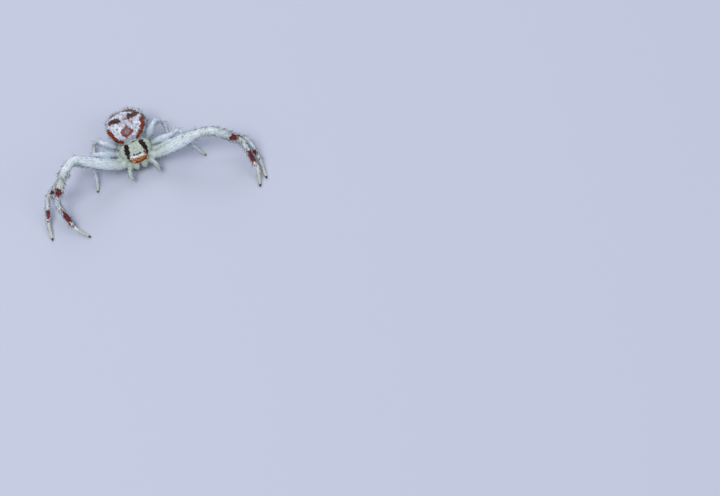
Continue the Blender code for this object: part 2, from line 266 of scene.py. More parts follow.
def directionOf(side, turn, pitch):
    turn, pitch = math.radians(turn), math.radians(pitch)
    level = math.cos(pitch)
    return Vector((side * level * math.cos(turn), -level * math.sin(turn), math.sin(pitch)))


def legCorners(leg):
    plan = legPlan
    sideName, number = leg.split("_")
    side, number = sideSigns[sideName], int(number)
    outward = directionOf(side, plan["hipAngle"][number], 0.0)
    root = outward * plan["rootReach"] + Vector((0, 0, plan["rootHeight"]))
    corners = [root, outward * plan["hipReach"][number] + Vector((0, 0, plan["hipHeight"][number]))]
    for length, (turn, pitch) in zip(plan["lengths"][number], plan["pose"][leg]):
        corners.append(corners[-1] + directionOf(side, turn, pitch) * length)
    length = plan["lengths"][number][-1] - plan["footLength"]
    turn = plan["tarsusTurn"][leg]
    drop = (plan["footHeight"] - corners[-1].z) / length
    corners.append(corners[-1] + directionOf(side, turn, math.degrees(math.asin(drop))) * length)
    corners.append(corners[-1] + directionOf(side, turn, 0.0) * plan["footLength"])
    return corners


def legLine(leg):
    number = int(leg[-1])
    corners = legCorners(leg)
    points, distances, marks = roundedLine(corners, legPlan["rounding"])
    marks.pop(len(segmentNames))  # the bend inside the tarsus isn't a joint
    total = distances[-1]
    count = int(total / legPlan["step"])
    samples = []
    for index in range(count + 1):
        distance = total * index / count
        segment = min(sum(1 for mark in marks[1:-1] if distance > mark), len(segmentNames) - 1)
        share = (distance - marks[segment]) / (marks[segment + 1] - marks[segment])
        radius = between(legPlan["radii"][number][segment], share)
        for mark in marks[1:-1]:
            radius *= 1.0 - legPlan["pinch"] * math.exp(-((distance - mark) / legPlan["pinchLength"]) ** 2)
        radius = roundedEnd(radius, total - distance, legPlan["endShare"])
        samples.append((placeAlong(points, distances, distance), radius, segment + share, distance))
    return samples


legLines = {leg: legLine(leg) for leg in legPlan["pose"]}
print("leg lines:", len(legLines))


# jaws, feelers, spinnerets and the narrow waist

jawPlan = {
    "line": ((0.4, -0.95, 1.3), (0.39, -1.32, 1.02), (0.31, -1.5, 0.55)), "radii": (0.33, 0.34, 0.15),
    "rounding": 0.34, "steps": 24,
}
feelerPlan = {
    "lines": {
        "left": ((0.75, -0.85, 0.92), (1.36, -1.78, 1.0), (1.45, -2.35, 0.45)),
        "right": ((-0.75, -0.85, 0.92), (-1.18, -1.78, 1.0), (-1.08, -2.4, 0.4)),
    },
    "radii": (0.27, 0.22, 0.13), "rounding": 0.3, "steps": 34,
}
spinneretPlan = {
    "root": Vector((-0.05, 3.72, 1.26)), "drop": 28.0, "sunk": 0.3, "reach": 0.3, "closing": 0.75,
    "swell": (1.25, 1.1, 0.75), "rounding": 0.1, "steps": 16,
    # sideways and upward place, radius and share of the reach
    "tubes": ((0.13, 0.02, 0.13, 1.0), (-0.13, 0.02, 0.13, 1.0), (0.1, -0.17, 0.11, 0.85),
              (-0.1, -0.17, 0.11, 0.85), (0.0, 0.17, 0.09, 0.6)),
}
waist = {"line": ((0.0, 0.9, 1.1), (0.0, 1.7, 1.35)), "radius": 0.42}
bentEndShare = 0.03


def bentTube(corners, radii, rounding, steps):
    points, distances, _ = roundedLine(corners, rounding)
    total = distances[-1]
    places, sizes = [], []
    for step in range(steps + 1):
        distance = total * step / steps
        places.append(placeAlong(points, distances, distance))
        sizes.append(roundedEnd(between(radii, step / steps), total - distance, bentEndShare))
    return tubeForm(places, sizes)


def spinneretForms():
    plan = spinneretPlan
    lean = math.radians(plan["drop"])
    back = Vector((0, math.cos(lean), -math.sin(lean)))
    up = Vector((0, math.sin(lean), math.cos(lean)))
    forms = []
    for across, above, radius, share in plan["tubes"]:
        shift = Vector((across, 0, 0)) + up * above
        start = plan["root"] + shift - back * plan["sunk"]
        end = plan["root"] + shift * plan["closing"] + back * plan["reach"] * share
        radii = [radius * swell for swell in plan["swell"]]
        forms.append(bentTube((start, start.lerp(end, 0.5), end), radii, plan["rounding"], plan["steps"]))
    return forms


# eyes: four pairs, each on a low mound of skin

eyePlan = {
    "places": {
        "front_middle": (0.2, 1.13, 0.1), "front_side": (0.66, 1.04, 0.13),
        "back_middle": (0.28, 0.78, 0.1), "back_side": (0.68, 0.72, 0.11),
    },
    "stand": 0.03, "mound": 1.55, "moundSink": 0.62, "above": 4.0,
}
foreForm = bodyForm(foreBodyPoint, 0.0)
foreSurface = BVHTree.FromBMesh(foreForm)
foreForm.free()
eyeSpots = {}
for sideName, side in sideSigns.items():
    for kind, (across, forward, radius) in eyePlan["places"].items():
        above = Vector((side * across, -forward, eyePlan["above"]))
        hit, normal, _, _ = foreSurface.ray_cast(above, -upward)
        eyeSpots[f"eye_{kind}_{sideName}"] = (kind, hit, normal, radius)


def moundForms():
    forms = []
    for _, hit, normal, radius in eyeSpots.values():
        bm = bmesh.new()
        bmesh.ops.create_icosphere(bm, subdivisions=3, radius=radius * eyePlan["mound"])
        bmesh.ops.translate(bm, vec=hit - normal * radius * eyePlan["moundSink"], verts=bm.verts)
        forms.append(bm)
    return forms


# one skin over all of it

skinPlan = {"voxel": 0.055, "smoothing": 0.5, "rounds": 3}


def linkedObject(name, mesh):
    obj = bpy.data.objects.new(name, mesh)
    bpy.context.scene.collection.objects.link(obj)
    return obj


def meshOf(name, forms):
    joined = bmesh.new()
    for form in forms:
        part = bpy.data.meshes.new("part")
        form.to_mesh(part)
        form.free()
        joined.from_mesh(part)
        bpy.data.meshes.remove(part)
    mesh = bpy.data.meshes.new(name)
    joined.to_mesh(mesh)
    joined.free()
    return mesh


def applied(obj):
    depsgraph = bpy.context.evaluated_depsgraph_get()
    return bpy.data.meshes.new_from_object(obj.evaluated_get(depsgraph))


def dropObject(obj):
    mesh = obj.data
    bpy.data.objects.remove(obj, do_unlink=True)
    bpy.data.meshes.remove(mesh)


def hindForm():
    body = linkedObject("hindForm", meshOf("hindForm", [bodyForm(hindBodyPoint, hindBody["inset"])]))
    front = linkedObject("frontForm", meshOf("frontForm", [bodyForm(foreBodyPoint, -hindBody["frontCut"])]))
    cut = body.modifiers.new("front cut", "BOOLEAN")
    cut.operation = "DIFFERENCE"
    cut.solver = "EXACT"
    cut.object = front
    mesh = applied(body)
    bm = bmesh.new()
    bm.from_mesh(mesh)
    bpy.data.meshes.remove(mesh)
    dropObject(body)
    dropObject(front)
    return bm


def buildSkin():
    forms = [bodyForm(foreBodyPoint, foreBody["inset"]), hindForm()]
    for samples in legLines.values():
        forms.append(tubeForm([s[0] for s in samples], [s[1] for s in samples]))
    for side in sideSigns.values():
        corners = [Vector((side * x, y, z)) for x, y, z in jawPlan["line"]]
        forms.append(bentTube(corners, jawPlan["radii"], jawPlan["rounding"], jawPlan["steps"]))
    for line in feelerPlan["lines"].values():
        corners = [Vector(corner) for corner in line]
        forms.append(bentTube(corners, feelerPlan["radii"], feelerPlan["rounding"], feelerPlan["steps"]))
    forms += spinneretForms() + moundForms()
    start, end = (Vector(place) for place in waist["line"])
    forms.append(tubeForm([start, start.lerp(end, 0.5), end], [waist["radius"]] * 3))
    blank = linkedObject("skinBlank", meshOf("skinBlank", forms))
    remesh = blank.modifiers.new("one surface", "REMESH")
    remesh.mode = "VOXEL"
    remesh.voxel_size = skinPlan["voxel"]
    smooth = blank.modifiers.new("smooth", "SMOOTH")
    smooth.factor = skinPlan["smoothing"]
    smooth.iterations = skinPlan["rounds"]
    mesh = applied(blank)
    dropObject(blank)
    mesh.name = "skin"
    return mesh


skinMesh = buildSkin()
print("skin:", len(skinMesh.vertices), "points,", len(skinMesh.polygons), "faces")


# where each point of the skin lies, and how deep it is inside each marking

def readPlaces(mesh):
    values = np.zeros(len(mesh.vertices) * 3, np.float32)
    mesh.vertices.foreach_get("co", values)
    return values.reshape(-1, 3).astype(float)


def setFloats(mesh, name, values):
    layer = mesh.attributes.new(name, "FLOAT", "POINT")
    layer.data.foreach_set("value", np.asarray(values, np.float32))


def setVectors(mesh, name, values):
    layer = mesh.attributes.new(name, "FLOAT_VECTOR", "POINT")
    layer.data.foreach_set("vector", np.asarray(values, np.float32).ravel())


def depthIn(places, line, halfWidths):
    best = np.full(len(places), -9.0)
    line = [np.array(point, float) for point in line]
    if np.isscalar(halfWidths):
        halfWidths = [halfWidths] * len(line)
    for start, end, first, last in zip(line, line[1:], halfWidths, halfWidths[1:]):
        span = end - start
        share = np.clip((places - start) @ span / max(span @ span, 1e-9), 0.0, 1.0)
        gap = np.linalg.norm(places - start - share[:, None] * span, axis=1)
        best = np.maximum(best, first + (last - first) * share - gap)
    return best


# each mark is one or more lines on the body, with its half widths along each line
bodyMarks = {
    "bar": (
        (((-1.42, 2.86, 2.62), (-1.1, 2.76, 2.77), (-0.74, 2.67, 2.86)), (0.23, 0.28, 0.3)),
        (((0.48, 2.75, 2.88), (0.78, 2.8, 2.83), (1.12, 2.92, 2.71)), (0.31, 0.29, 0.24)),
    ),
    "rim": (
        (((0.1, 3.6, 2.67), (0.54, 3.52, 2.67), (0.98, 3.33, 2.66)), (0.15, 0.24, 0.18)),
        (((-1.3, 3.45, 2.42), (-0.89, 3.6, 2.53), (-0.42, 3.62, 2.63)), (0.16, 0.2, 0.14)),
        (((1.6, 2.78, 2.43), (1.7, 2.6, 2.33), (1.7, 2.42, 2.34)), (0.18, 0.24, 0.2)),
    ),
    "stripe": (
        (((1.41, 2.17, 2.58), (1.4, 1.9, 2.53), (1.3, 1.64, 2.48), (1.1, 1.31, 2.41), (0.87, 1.06, 2.25),
          (0.62, 0.9, 2.08)),
         (0.24, 0.28, 0.25, 0.22, 0.24, 0.22)),
        (((-1.84, 2.3, 2.32), (-1.76, 2.07, 2.34), (-1.65, 1.76, 2.32), (-1.53, 1.46, 2.2),
          (-1.38, 1.23, 2.01), (-1.17, 1.06, 1.87), (-0.95, 0.93, 1.87)),
         (0.18, 0.26, 0.29, 0.24, 0.29, 0.33, 0.26)),
    ),
    "diamond": (
        (((-0.1, 1.74, 2.85), (0.12, 1.5, 2.78), (0.22, 1.28, 2.67), (-0.03, 1.14, 2.6), (-0.38, 1.03, 2.46),
          (-0.57, 1.21, 2.59), (-0.62, 1.42, 2.71), (-0.4, 1.6, 2.81), (-0.1, 1.74, 2.85)),
         (0.07, 0.14, 0.16, 0.15, 0.12, 0.16, 0.17, 0.15, 0.07)),
    ),
    "heart": (
        (((-0.08, 1.86, 2.86), (-0.16, 1.55, 2.8), (-0.22, 1.36, 2.72), (-0.27, 1.2, 2.62)),
         (0.1, 0.27, 0.29, 0.15)),
    ),
    "haze": (
        (((-0.55, 2.3, 2.88), (0.0, 2.4, 2.9), (0.55, 2.25, 2.87)), (0.3, 0.5, 0.3)),
        (((-0.06, 2.0, 2.88), (-0.05, 2.9, 2.9)), (0.2, 0.25)),
    ),
    "dimple": (
        (((-0.46, 2.33, 2.9), (-0.45, 2.33, 2.9)), 0.08),
        (((-0.99, 1.84, 2.77), (-0.98, 1.84, 2.77)), 0.09),
        (((0.47, 1.9, 2.85), (0.48, 1.9, 2.85)), 0.09),
        (((-0.17, 2.64, 2.9), (0.1, 2.6, 2.9)), 0.1),
        (((-0.17, 2.15, 2.9), (-0.16, 2.15, 2.9)), 0.07),
        (((0.45, 2.14, 2.88), (0.5, 2.14, 2.88)), 0.1),
        (((-0.1, -0.22, 2.11), (-0.09, -0.12, 2.11)), 0.03),
    ),
    "band": (
        (((-0.69, 0.36, 2.04), (-0.78, 0.0, 2.04), (-0.81, -0.31, 2.02), (-0.83, -0.58, 1.92),
          (-0.86, -0.8, 1.74)),
         (0.2, 0.24, 0.26, 0.18, 0.1)),
        (((0.7, 0.42, 1.98), (0.81, -0.02, 2.04), (0.88, -0.36, 1.97), (0.94, -0.6, 1.84),
          (0.96, -0.78, 1.65)),
         (0.23, 0.26, 0.24, 0.14, 0.09)),
        (((-0.5, 0.54, 2.04), (-0.08, 0.55, 2.06), (0.34, 0.63, 2.01)), (0.04, 0.06, 0.06)),
    ),
    "edge": (
        (((-0.88, -0.8, 1.7), (-0.71, -1.04, 1.52), (-0.47, -1.2, 1.43), (-0.16, -1.28, 1.45),
          (0.22, -1.28, 1.45), (0.55, -1.18, 1.43), (0.78, -1.0, 1.5), (0.94, -0.8, 1.66)),
         (0.14, 0.13, 0.1, 0.1, 0.1, 0.1, 0.13, 0.14)),
        (((-0.12, -0.83, 1.99), (0.07, -0.83, 2.0), (0.2, -0.81, 2.0)), (0.05, 0.08, 0.05)),
    ),
    "ochre": (
        (((-0.5, -1.12, 1.67), (-0.2, -1.22, 1.66), (0.0, -1.24, 1.65), (0.25, -1.21, 1.66),
          (0.52, -1.12, 1.67)),
         (0.16, 0.24, 0.25, 0.24, 0.16)),
        (((-0.6, -0.93, 1.84), (-0.56, -0.93, 1.84)), 0.1),
        (((0.68, -0.86, 1.84), (0.72, -0.86, 1.8)), 0.1),
    ),
    "lace": (
        (((-0.62, -0.86, 1.89), (-0.36, -0.96, 1.9), (-0.08, -0.99, 1.91), (0.22, -0.97, 1.91),
          (0.58, -0.9, 1.87)),
         (0.045, 0.075, 0.055, 0.07, 0.06)),
    ),
}
legMarkPlan = {
    "facing": (0.0, -0.35, 1.0),
    # place along the leg (the tibia runs from 3 to 4, the metatarsus to 5), half length, half angle
    "bands": {"tibia": (3.65, 0.42, 84.0), "metatarsus": (4.57, 0.68, 125.0), "spot": (4.88, 0.12, 60.0)},
    "flecks": {"tibia": (3.7, 1.0, 140.0), "metatarsus": (4.5, 1.35, 150.0)},
    "from": 3.0,
    "bandSize": {"right_1": 1.0, "left_1": 1.0, "right_2": 0.62, "left_2": 0.5},
    "outward": {"right_1": 0.0, "left_1": 0.0, "right_2": 0.07, "left_2": 0.0},
    # where the skin counts as a leg's: from this place on, and this near to its line
    "legStart": 1.0, "legFade": 0.4, "nearRadii": 1.25, "nearGap": 0.1, "nearFade": 0.08,
    "grainStretch": 0.22, "grainShift": 3.0,
}


def legTree():
    tree = KDTree(sum(len(samples) for samples in legLines.values()))
    owners = []
    for leg, samples in legLines.items():
        for index, sample in enumerate(samples):
            tree.insert(sample[0], len(owners))
            owners.append((leg, index))
    tree.balance()
    return tree, owners


def markDepth(mark, along, away, radius, lengths, size=1.0):
    centre, half, angle = mark
    angle = math.radians(angle)
    length = lengths[int(centre) - 1]
    lengthwise = (along - centre) * length / (half * size)
    return (1.0 - math.hypot(lengthwise, away / (angle * size))) * min(half, angle * radius)


def markLegs(mesh, places):
    plan = legMarkPlan
    tree, owners = legTree()
    order = list(legLines)
    facing = Vector(plan["facing"]).normalized()
    at = {name: np.zeros(len(places)) for name in ("station", "legness", "hindness", "leg", "turn")}
    at["crimson"], at["flecks"] = np.full(len(places), -1.0), np.full(len(places), -1.0)
    at["ahead"], at["grain"] = np.zeros((len(places), 3)), np.zeros((len(places), 3))
    for row, place in enumerate(places):
        point, owner, gap = tree.find(place)
        leg, index = owners[owner]
        samples, number = legLines[leg], int(leg[-1])
        _, radius, along, distance = samples[index]
        before, after = samples[max(index - 1, 0)], samples[min(index + 1, len(samples) - 1)]
        span = after[0] - before[0]
        ahead = span.normalized()
        level, upright = sidesOf(ahead)
        offset = Vector(place) - point
        slide = offset.dot(ahead)
        along += slide / span.length * (after[2] - before[2])
        sideways, raised = offset.dot(level), offset.dot(upright)
        grainPlace = (distance + slide) * plan["grainStretch"] + number * plan["grainShift"]
        near = radius * plan["nearRadii"] + plan["nearGap"] - gap
        legness = eased((along - plan["legStart"]) / plan["legFade"]) * eased(near / plan["nearFade"])
        at["station"][row], at["legness"][row], at["hindness"][row] = along, legness, number > 2
        at["leg"][row], at["turn"][row] = order.index(leg), math.atan2(sideways, raised)
        at["ahead"][row], at["grain"][row] = ahead, (sideways, raised, grainPlace)
        if leg not in frontLegs or along < plan["from"] or not legness:
            continue
        out = offset - ahead * slide
        away = out.angle(facing - ahead * facing.dot(ahead), 0.0) if out.length > 1e-6 else 0.0
        shape = (along - plan["outward"][leg], away, radius, legPlan["lengths"][number])
        bands = [markDepth(mark, *shape, plan["bandSize"][leg]) for mark in plan["bands"].values()]
        flecks = [markDepth(mark, *shape) for mark in plan["flecks"].values()]
        at["crimson"][row], at["flecks"][row] = max(-1.0, *bands), max(-1.0, *flecks)
    for name in ("station", "legness", "hindness", "crimson", "flecks"):
        setFloats(mesh, name, at[name])
    setVectors(mesh, "grain", at["grain"] * mm)
    return at


skinPlaces = readPlaces(skinMesh)
markDepths = {}
for markName, lines in bodyMarks.items():
    depths = [depthIn(skinPlaces, line, widths) for line, widths in lines]
    markDepths[markName] = np.clip(np.max(depths, axis=0), -1.0, 1.0)
    setFloats(skinMesh, markName, markDepths[markName])
skinAt = markLegs(skinMesh, skinPlaces)


def levelOf(places, centre, halves, power):
    offset = np.abs((places - np.array(centre)) / np.array(halves))
    return (offset ** power).sum(1) ** (1.0 / power)


# how the skin is shared out between the two body halves, and where the top of the hind one begins
sharePlan = {
    "lowerStretch": 1.1, "sharpness": 6.0, "hindFrom": 0.55, "hindFade": 0.2, "topFrom": 2.02, "topFade": 0.3,
}
hindHalves = (hindBody["width"] / 2, hindBody["length"] / 2, hindBody["height"] / 2)
hindLevel = levelOf(skinPlaces, hindBody["centre"], hindHalves, hindBody["squareness"])
foreLow = (foreBody["margin"] - foreBody["bottom"]) * sharePlan["lowerStretch"]
foreRise = np.where(skinPlaces[:, 2] > foreBody["margin"], foreBody["top"] - foreBody["margin"], foreLow)
foreWide, foreLong = np.full_like(foreRise, foreBody["width"] / 2), np.full_like(foreRise, foreBody["back"])
foreHalves = np.stack([foreWide, foreLong, foreRise], axis=1)
foreLevel = levelOf(skinPlaces, (0.0, 0.0, foreBody["margin"]), foreHalves, foreBody["squareness"])
nearer = np.abs(foreLevel - 1.0) - np.abs(hindLevel - 1.0)
hindAt = np.clip(nearer * sharePlan["sharpness"] + 0.5, 0.0, 1.0)
hindAt *= np.clip((skinPlaces[:, 1] - sharePlan["hindFrom"]) / sharePlan["hindFade"], 0.0, 1.0)
hindAt *= 1.0 - skinAt["legness"]
setFloats(skinMesh, "hindBody", hindAt)
topAt = np.clip((skinPlaces[:, 2] - sharePlan["topFrom"]) / sharePlan["topFade"], 0.0, 1.0)
setFloats(skinMesh, "topShare", topAt)
print("markings placed")

reliefPlan = {
    "pit": 0.045, "pitSoft": 0.07, "fold": 0.013, "foldSpacing": 0.21, "foldWander": 0.16, "flankLean": 0.75,
    "flankGain": 1.6, "swell": 0.022, "swellSize": 0.55, "grain": 0.005, "grainSize": 0.13,
    "groundLevel": 0.002,
}


def reliefSkin(mesh):
    plan = reliefPlan
    normals = np.zeros(len(skinPlaces) * 3, np.float32)
    mesh.vertex_normals.foreach_get("vector", normals)
    normals = normals.reshape(-1, 3)
    push = np.zeros(len(skinPlaces))
    for row in np.flatnonzero(hindAt > 0.05):
        place = Vector(skinPlaces[row])
        wander = noise.noise(place / plan["swellSize"])
        flank = 1.0 - min(abs(normals[row][2]) / plan["flankLean"], 1.0)
        fold = math.sin(2 * math.pi * (place.z + wander * plan["foldWander"]) / plan["foldSpacing"])
        push[row] = plan["swell"] * wander + plan["fold"] * fold * eased(flank * plan["flankGain"])
        push[row] += plan["grain"] * noise.noise(place / plan["grainSize"])
    push *= hindAt
    push -= plan["pit"] * np.clip(0.5 + markDepths["dimple"] / plan["pitSoft"] / 2, 0.0, 1.0) ** 2
    moved = skinPlaces + normals * push[:, None]
    moved[:, 2] = np.maximum(moved[:, 2], plan["groundLevel"])
    mesh.vertices.foreach_set("co", moved.astype(np.float32).ravel())
    mesh.update()


reliefSkin(skinMesh)
print("relief shaped")

skinMesh.transform(toWorld)
skinMesh.shade_smooth()


# finishes, with what they share with the bristles' trees

class NodeTree:

    def add(self, kind, **settings):
        node = self.tree.nodes.new(kind)
        for name, value in settings.items():
            setattr(node, name, value)
        return node

    def put(self, value, socket):
        if isinstance(value, bpy.types.NodeSocket):
            self.tree.links.new(value, socket)
        elif isinstance(value, (tuple, list)) and len(value) == 3 and socket.type == "RGBA":
            socket.default_value = (*value, 1.0)
        else:
            socket.default_value = value

    def sums(self, operation, first, second=0.0):
        node = self.add("ShaderNodeMath", operation=operation)
        self.put(first, node.inputs[0])
        self.put(second, node.inputs[1])
        return node.outputs[0]


class Finish(NodeTree):

    def __init__(self, name, roughness, **fixed):
        self.material = bpy.data.materials.new(name)
        self.material.use_nodes = True
        self.tree = self.material.node_tree
        self.shader = self.tree.nodes["Principled BSDF"]
        self.shader.inputs["Roughness"].default_value = roughness
        for socket, value in fixed.items():
            self.shader.inputs[socket].default_value = value
        self.where = self.add("ShaderNodeTexCoord").outputs["Object"]

    def attribute(self, name, kind="Fac"):
        return self.add("ShaderNodeAttribute", attribute_name=name).outputs[kind]

    def noise(self, size, detail=2.0, roughness=0.5, where=None):
        node = self.add("ShaderNodeTexNoise")
        self.put(1.0 / (size * mm), node.inputs["Scale"])
        self.put(detail, node.inputs["Detail"])
        self.put(roughness, node.inputs["Roughness"])
        self.put(where or self.where, node.inputs["Vector"])
        return node.outputs["Fac"]

    def wobble(self, size, detail, roughness, middle, depth):
        swing = self.sums("SUBTRACT", self.noise(size, detail, roughness), middle)
        return self.sums("MULTIPLY", swing, depth)

    def dots(self, size):
        node = self.add("ShaderNodeTexVoronoi", feature="F1")
        self.put(self.where, node.inputs["Vector"])
        self.put(1.0 / (size * mm), node.inputs["Scale"])
        return node.outputs["Distance"]

    def ramp(self, value, low, high, first=0.0, last=1.0):
        node = self.add("ShaderNodeMapRange", interpolation_type="SMOOTHSTEP")
        self.put(value, node.inputs["Value"])
        self.put(low, node.inputs["From Min"])
        self.put(high, node.inputs["From Max"])
        self.put(first, node.inputs["To Min"])
        self.put(last, node.inputs["To Max"])
        return node.outputs["Result"]

    def mix(self, share, first, second):
        node = self.add("ShaderNodeMix", data_type="RGBA")
        self.put(share, node.inputs[0])
        self.put(first, node.inputs[6])
        self.put(second, node.inputs[7])
        return node.outputs[2]

    def finish(self, colour, bump=None, strength=0.3, distance=0.02):
        self.put(colour, self.shader.inputs["Base Color"])
        if bump is not None:
            node = self.add("ShaderNodeBump")
            self.put(strength, node.inputs["Strength"])
            self.put(distance * mm, node.inputs["Distance"])
            self.put(bump, node.inputs["Height"])
            self.put(node.outputs["Normal"], self.shader.inputs["Normal"])
        return self.material


skinColours = {
    "leg": (0.69, 0.78, 0.83), "legShade": (0.49, 0.57, 0.62), "hindLeg": (0.62, 0.71, 0.82),
    "hindShade": (0.50, 0.58, 0.71), "knee": (0.58, 0.61, 0.48), "foreBody": (0.40, 0.47, 0.42),
    "margin": (0.50, 0.56, 0.49), "coxa": (0.48, 0.56, 0.55), "abdomen": (0.74, 0.81, 0.91),
    "vein": (0.29, 0.28, 0.37), "pink": (0.43, 0.37, 0.46), "flank": (0.50, 0.60, 0.58),
    "dimple": (0.13, 0.10, 0.12), "bar": (0.024, 0.009, 0.006), "barLight": (0.13, 0.036, 0.014),
    "rim": (0.10, 0.06, 0.028), "stripe": (0.28, 0.040, 0.010), "stripeDark": (0.034, 0.009, 0.006),
    "diamond": (0.22, 0.040, 0.018), "heart": (0.16, 0.085, 0.085), "band": (0.014, 0.003, 0.003),
    "edge": (0.20, 0.015, 0.014), "ochre": (0.32, 0.09, 0.012), "ochreLight": (0.62, 0.27, 0.03),
    "lace": (0.76, 0.83, 0.92), "crimson": (0.20, 0.005, 0.013), "crimsonDark": (0.030, 0.004, 0.006),
    "fleck": (0.07, 0.008, 0.012), "tarsus": (0.50, 0.51, 0.42), "tip": (0.02, 0.015, 0.02),
    "speck": (0.05, 0.035, 0.03),
}
skinPattern = {
    # sizes of the patterns in the colours
    "broad": 0.9, "middle": 0.3, "fine": 0.08, "streak": 0.1, "dot": 0.17, "grain": 0.18, "vein": 0.34,
    "pinkPatch": 0.5, "barPatch": 0.3, "ochrePatch": 0.14, "crimsonPatch": 0.16, "fleckPatch": 0.45,
    # size, detail, roughness, middle and depth of the noise that moves the edges of marks
    "wander": (0.2, 4.0, 0.68, 0.5, 0.44), "rough": (0.24, 4.0, 0.7, 0.5, 0.85),
    "ragged": (0.12, 3.0, 0.7, 0.52, 1.15),
    # softness of the edge and strength of each mark
    "marks": {
        "haze": (0.2, 0.8), "dimple": (0.07, 0.7), "rim": (0.05, 0.92), "bar": (0.035, 0.98),
        "stripe": (0.03, 1.0), "diamond": (0.035, 0.96), "heart": (0.07, 0.85), "ochre": (0.04, 1.0),
        "edge": (0.03, 1.0), "lace": (0.03, 1.0), "band": (0.025, 1.0), "crimson": (0.03, 0.98),
    },
    "bump": 0.3, "bumpDepth": 0.03,
}


def skinPatterns(look):
    plan = skinPattern
    patterns = {
        "station": look.attribute("station"), "legness": look.attribute("legness"),
        "broad": look.noise(plan["broad"]), "middle": look.noise(plan["middle"], 3.0),
        "fine": look.noise(plan["fine"], 3.0, 0.6),
        "streaks": look.noise(plan["streak"], 3.0, 0.6, look.attribute("grain", "Vector")),
    }
    for name in ("wander", "rough", "ragged"):
        patterns[name] = look.wobble(*plan[name])
    dots = look.ramp(look.dots(plan["dot"]), 0.17, 0.3, 1.0, 0.0)
    patterns["dots"] = look.sums("MULTIPLY", dots, look.ramp(patterns["middle"], 0.44, 0.56))
    return patterns


def legColour(look, patterns):
    colours, station = skinColours, patterns["station"]
    mottle = look.ramp(patterns["streaks"], 0.42, 0.66)
    front = look.mix(mottle, colours["leg"], colours["legShade"])
    hind = look.mix(mottle, colours["hindLeg"], colours["hindShade"])
    colour = look.mix(look.attribute("hindness"), front, hind)
    outer = look.ramp(station, 1.8, 3.2, 0.0, 0.45)
    outer = look.sums("MULTIPLY", outer, look.ramp(patterns["broad"], 0.42, 0.62))
    colour = look.mix(outer, colour, colours["knee"])
    colour = look.mix(look.ramp(station, 4.9, 5.3, 0.0, 0.75), colour, colours["tarsus"])
    dots = look.sums("MULTIPLY", patterns["dots"], look.ramp(station, 1.2, 3.5, 0.45, 0.9))
    return look.mix(dots, colour, colours["speck"])


def foreBodyColour(look, patterns):
    colours = skinColours
    colour = look.mix(look.ramp(patterns["middle"], 0.4, 0.7), colours["foreBody"], colours["margin"])
    colour = look.mix(look.ramp(patterns["station"], 0.35, 0.9), colour, colours["coxa"])
    return look.mix(look.sums("MULTIPLY", patterns["dots"], 0.6), colour, colours["speck"])


def hindBodyColour(look, patterns):
    colours, middle = skinColours, patterns["middle"]
    grains = look.ramp(look.dots(skinPattern["grain"]), 0.34, 0.6)
    grains = look.sums("MULTIPLY", grains, look.ramp(middle, 0.4, 0.6, 0.25, 0.85))
    veins = look.sums("SUBTRACT", look.noise(skinPattern["vein"], 3.0, 0.65), 0.5)
    veins = look.ramp(look.sums("ABSOLUTE", veins), 0.0, 0.06, 1.0, 0.0)
    veins = look.sums("MULTIPLY", veins, look.ramp(patterns["broad"], 0.36, 0.6))
    patches = look.ramp(look.noise(skinPattern["pinkPatch"]), 0.5, 0.64, 0.0, 0.55)
    top = look.mix(patches, colours["abdomen"], colours["pink"])
    top = look.mix(look.sums("MAXIMUM", grains, look.sums("MULTIPLY", veins, 0.6)), top, colours["vein"])
    haze = look.ramp(patterns["fine"], 0.35, 0.6)
    haze = look.sums("MULTIPLY", marked(look, "haze", patterns["wander"]), haze)
    top = look.mix(haze, top, colours["pink"])
    shade = look.sums("MAXIMUM", grains, look.ramp(middle, 0.45, 0.7))
    flank = look.mix(shade, colours["flank"], colours["vein"])
    return look.mix(look.attribute("topShare"), flank, top)


def marked(look, name, edge):
    soft, strength = skinPattern["marks"][name]
    depth = look.sums("ADD", look.attribute(name), edge)
    return look.sums("MULTIPLY", look.ramp(depth, -soft, soft), strength)


def markColours(look, patterns):
    # in the order in which they are laid over each other
    colours = skinColours
    striped = look.sums("ADD", look.attribute("stripe"), patterns["ragged"])
    barPatches = look.ramp(look.noise(skinPattern["barPatch"]), 0.4, 0.65)
    ochrePatches = look.ramp(look.noise(skinPattern["ochrePatch"]), 0.42, 0.6)
    crimsonPatches = look.ramp(look.noise(skinPattern["crimsonPatch"]), 0.45, 0.62)
    return {
        "dimple": colours["dimple"],
        "rim": colours["rim"],
        "bar": look.mix(barPatches, colours["bar"], colours["barLight"]),
        "stripe": look.mix(look.ramp(striped, -0.02, 0.16), colours["stripeDark"], colours["stripe"]),
        "diamond": colours["diamond"],
        "heart": look.mix(look.ramp(patterns["fine"], 0.5, 0.68), colours["heart"], colours["vein"]),
        "ochre": look.mix(ochrePatches, colours["ochre"], colours["ochreLight"]),
        "edge": colours["edge"],
        "lace": colours["lace"],
        "band": colours["band"],
        "crimson": look.mix(crimsonPatches, colours["crimson"], colours["crimsonDark"]),
    }


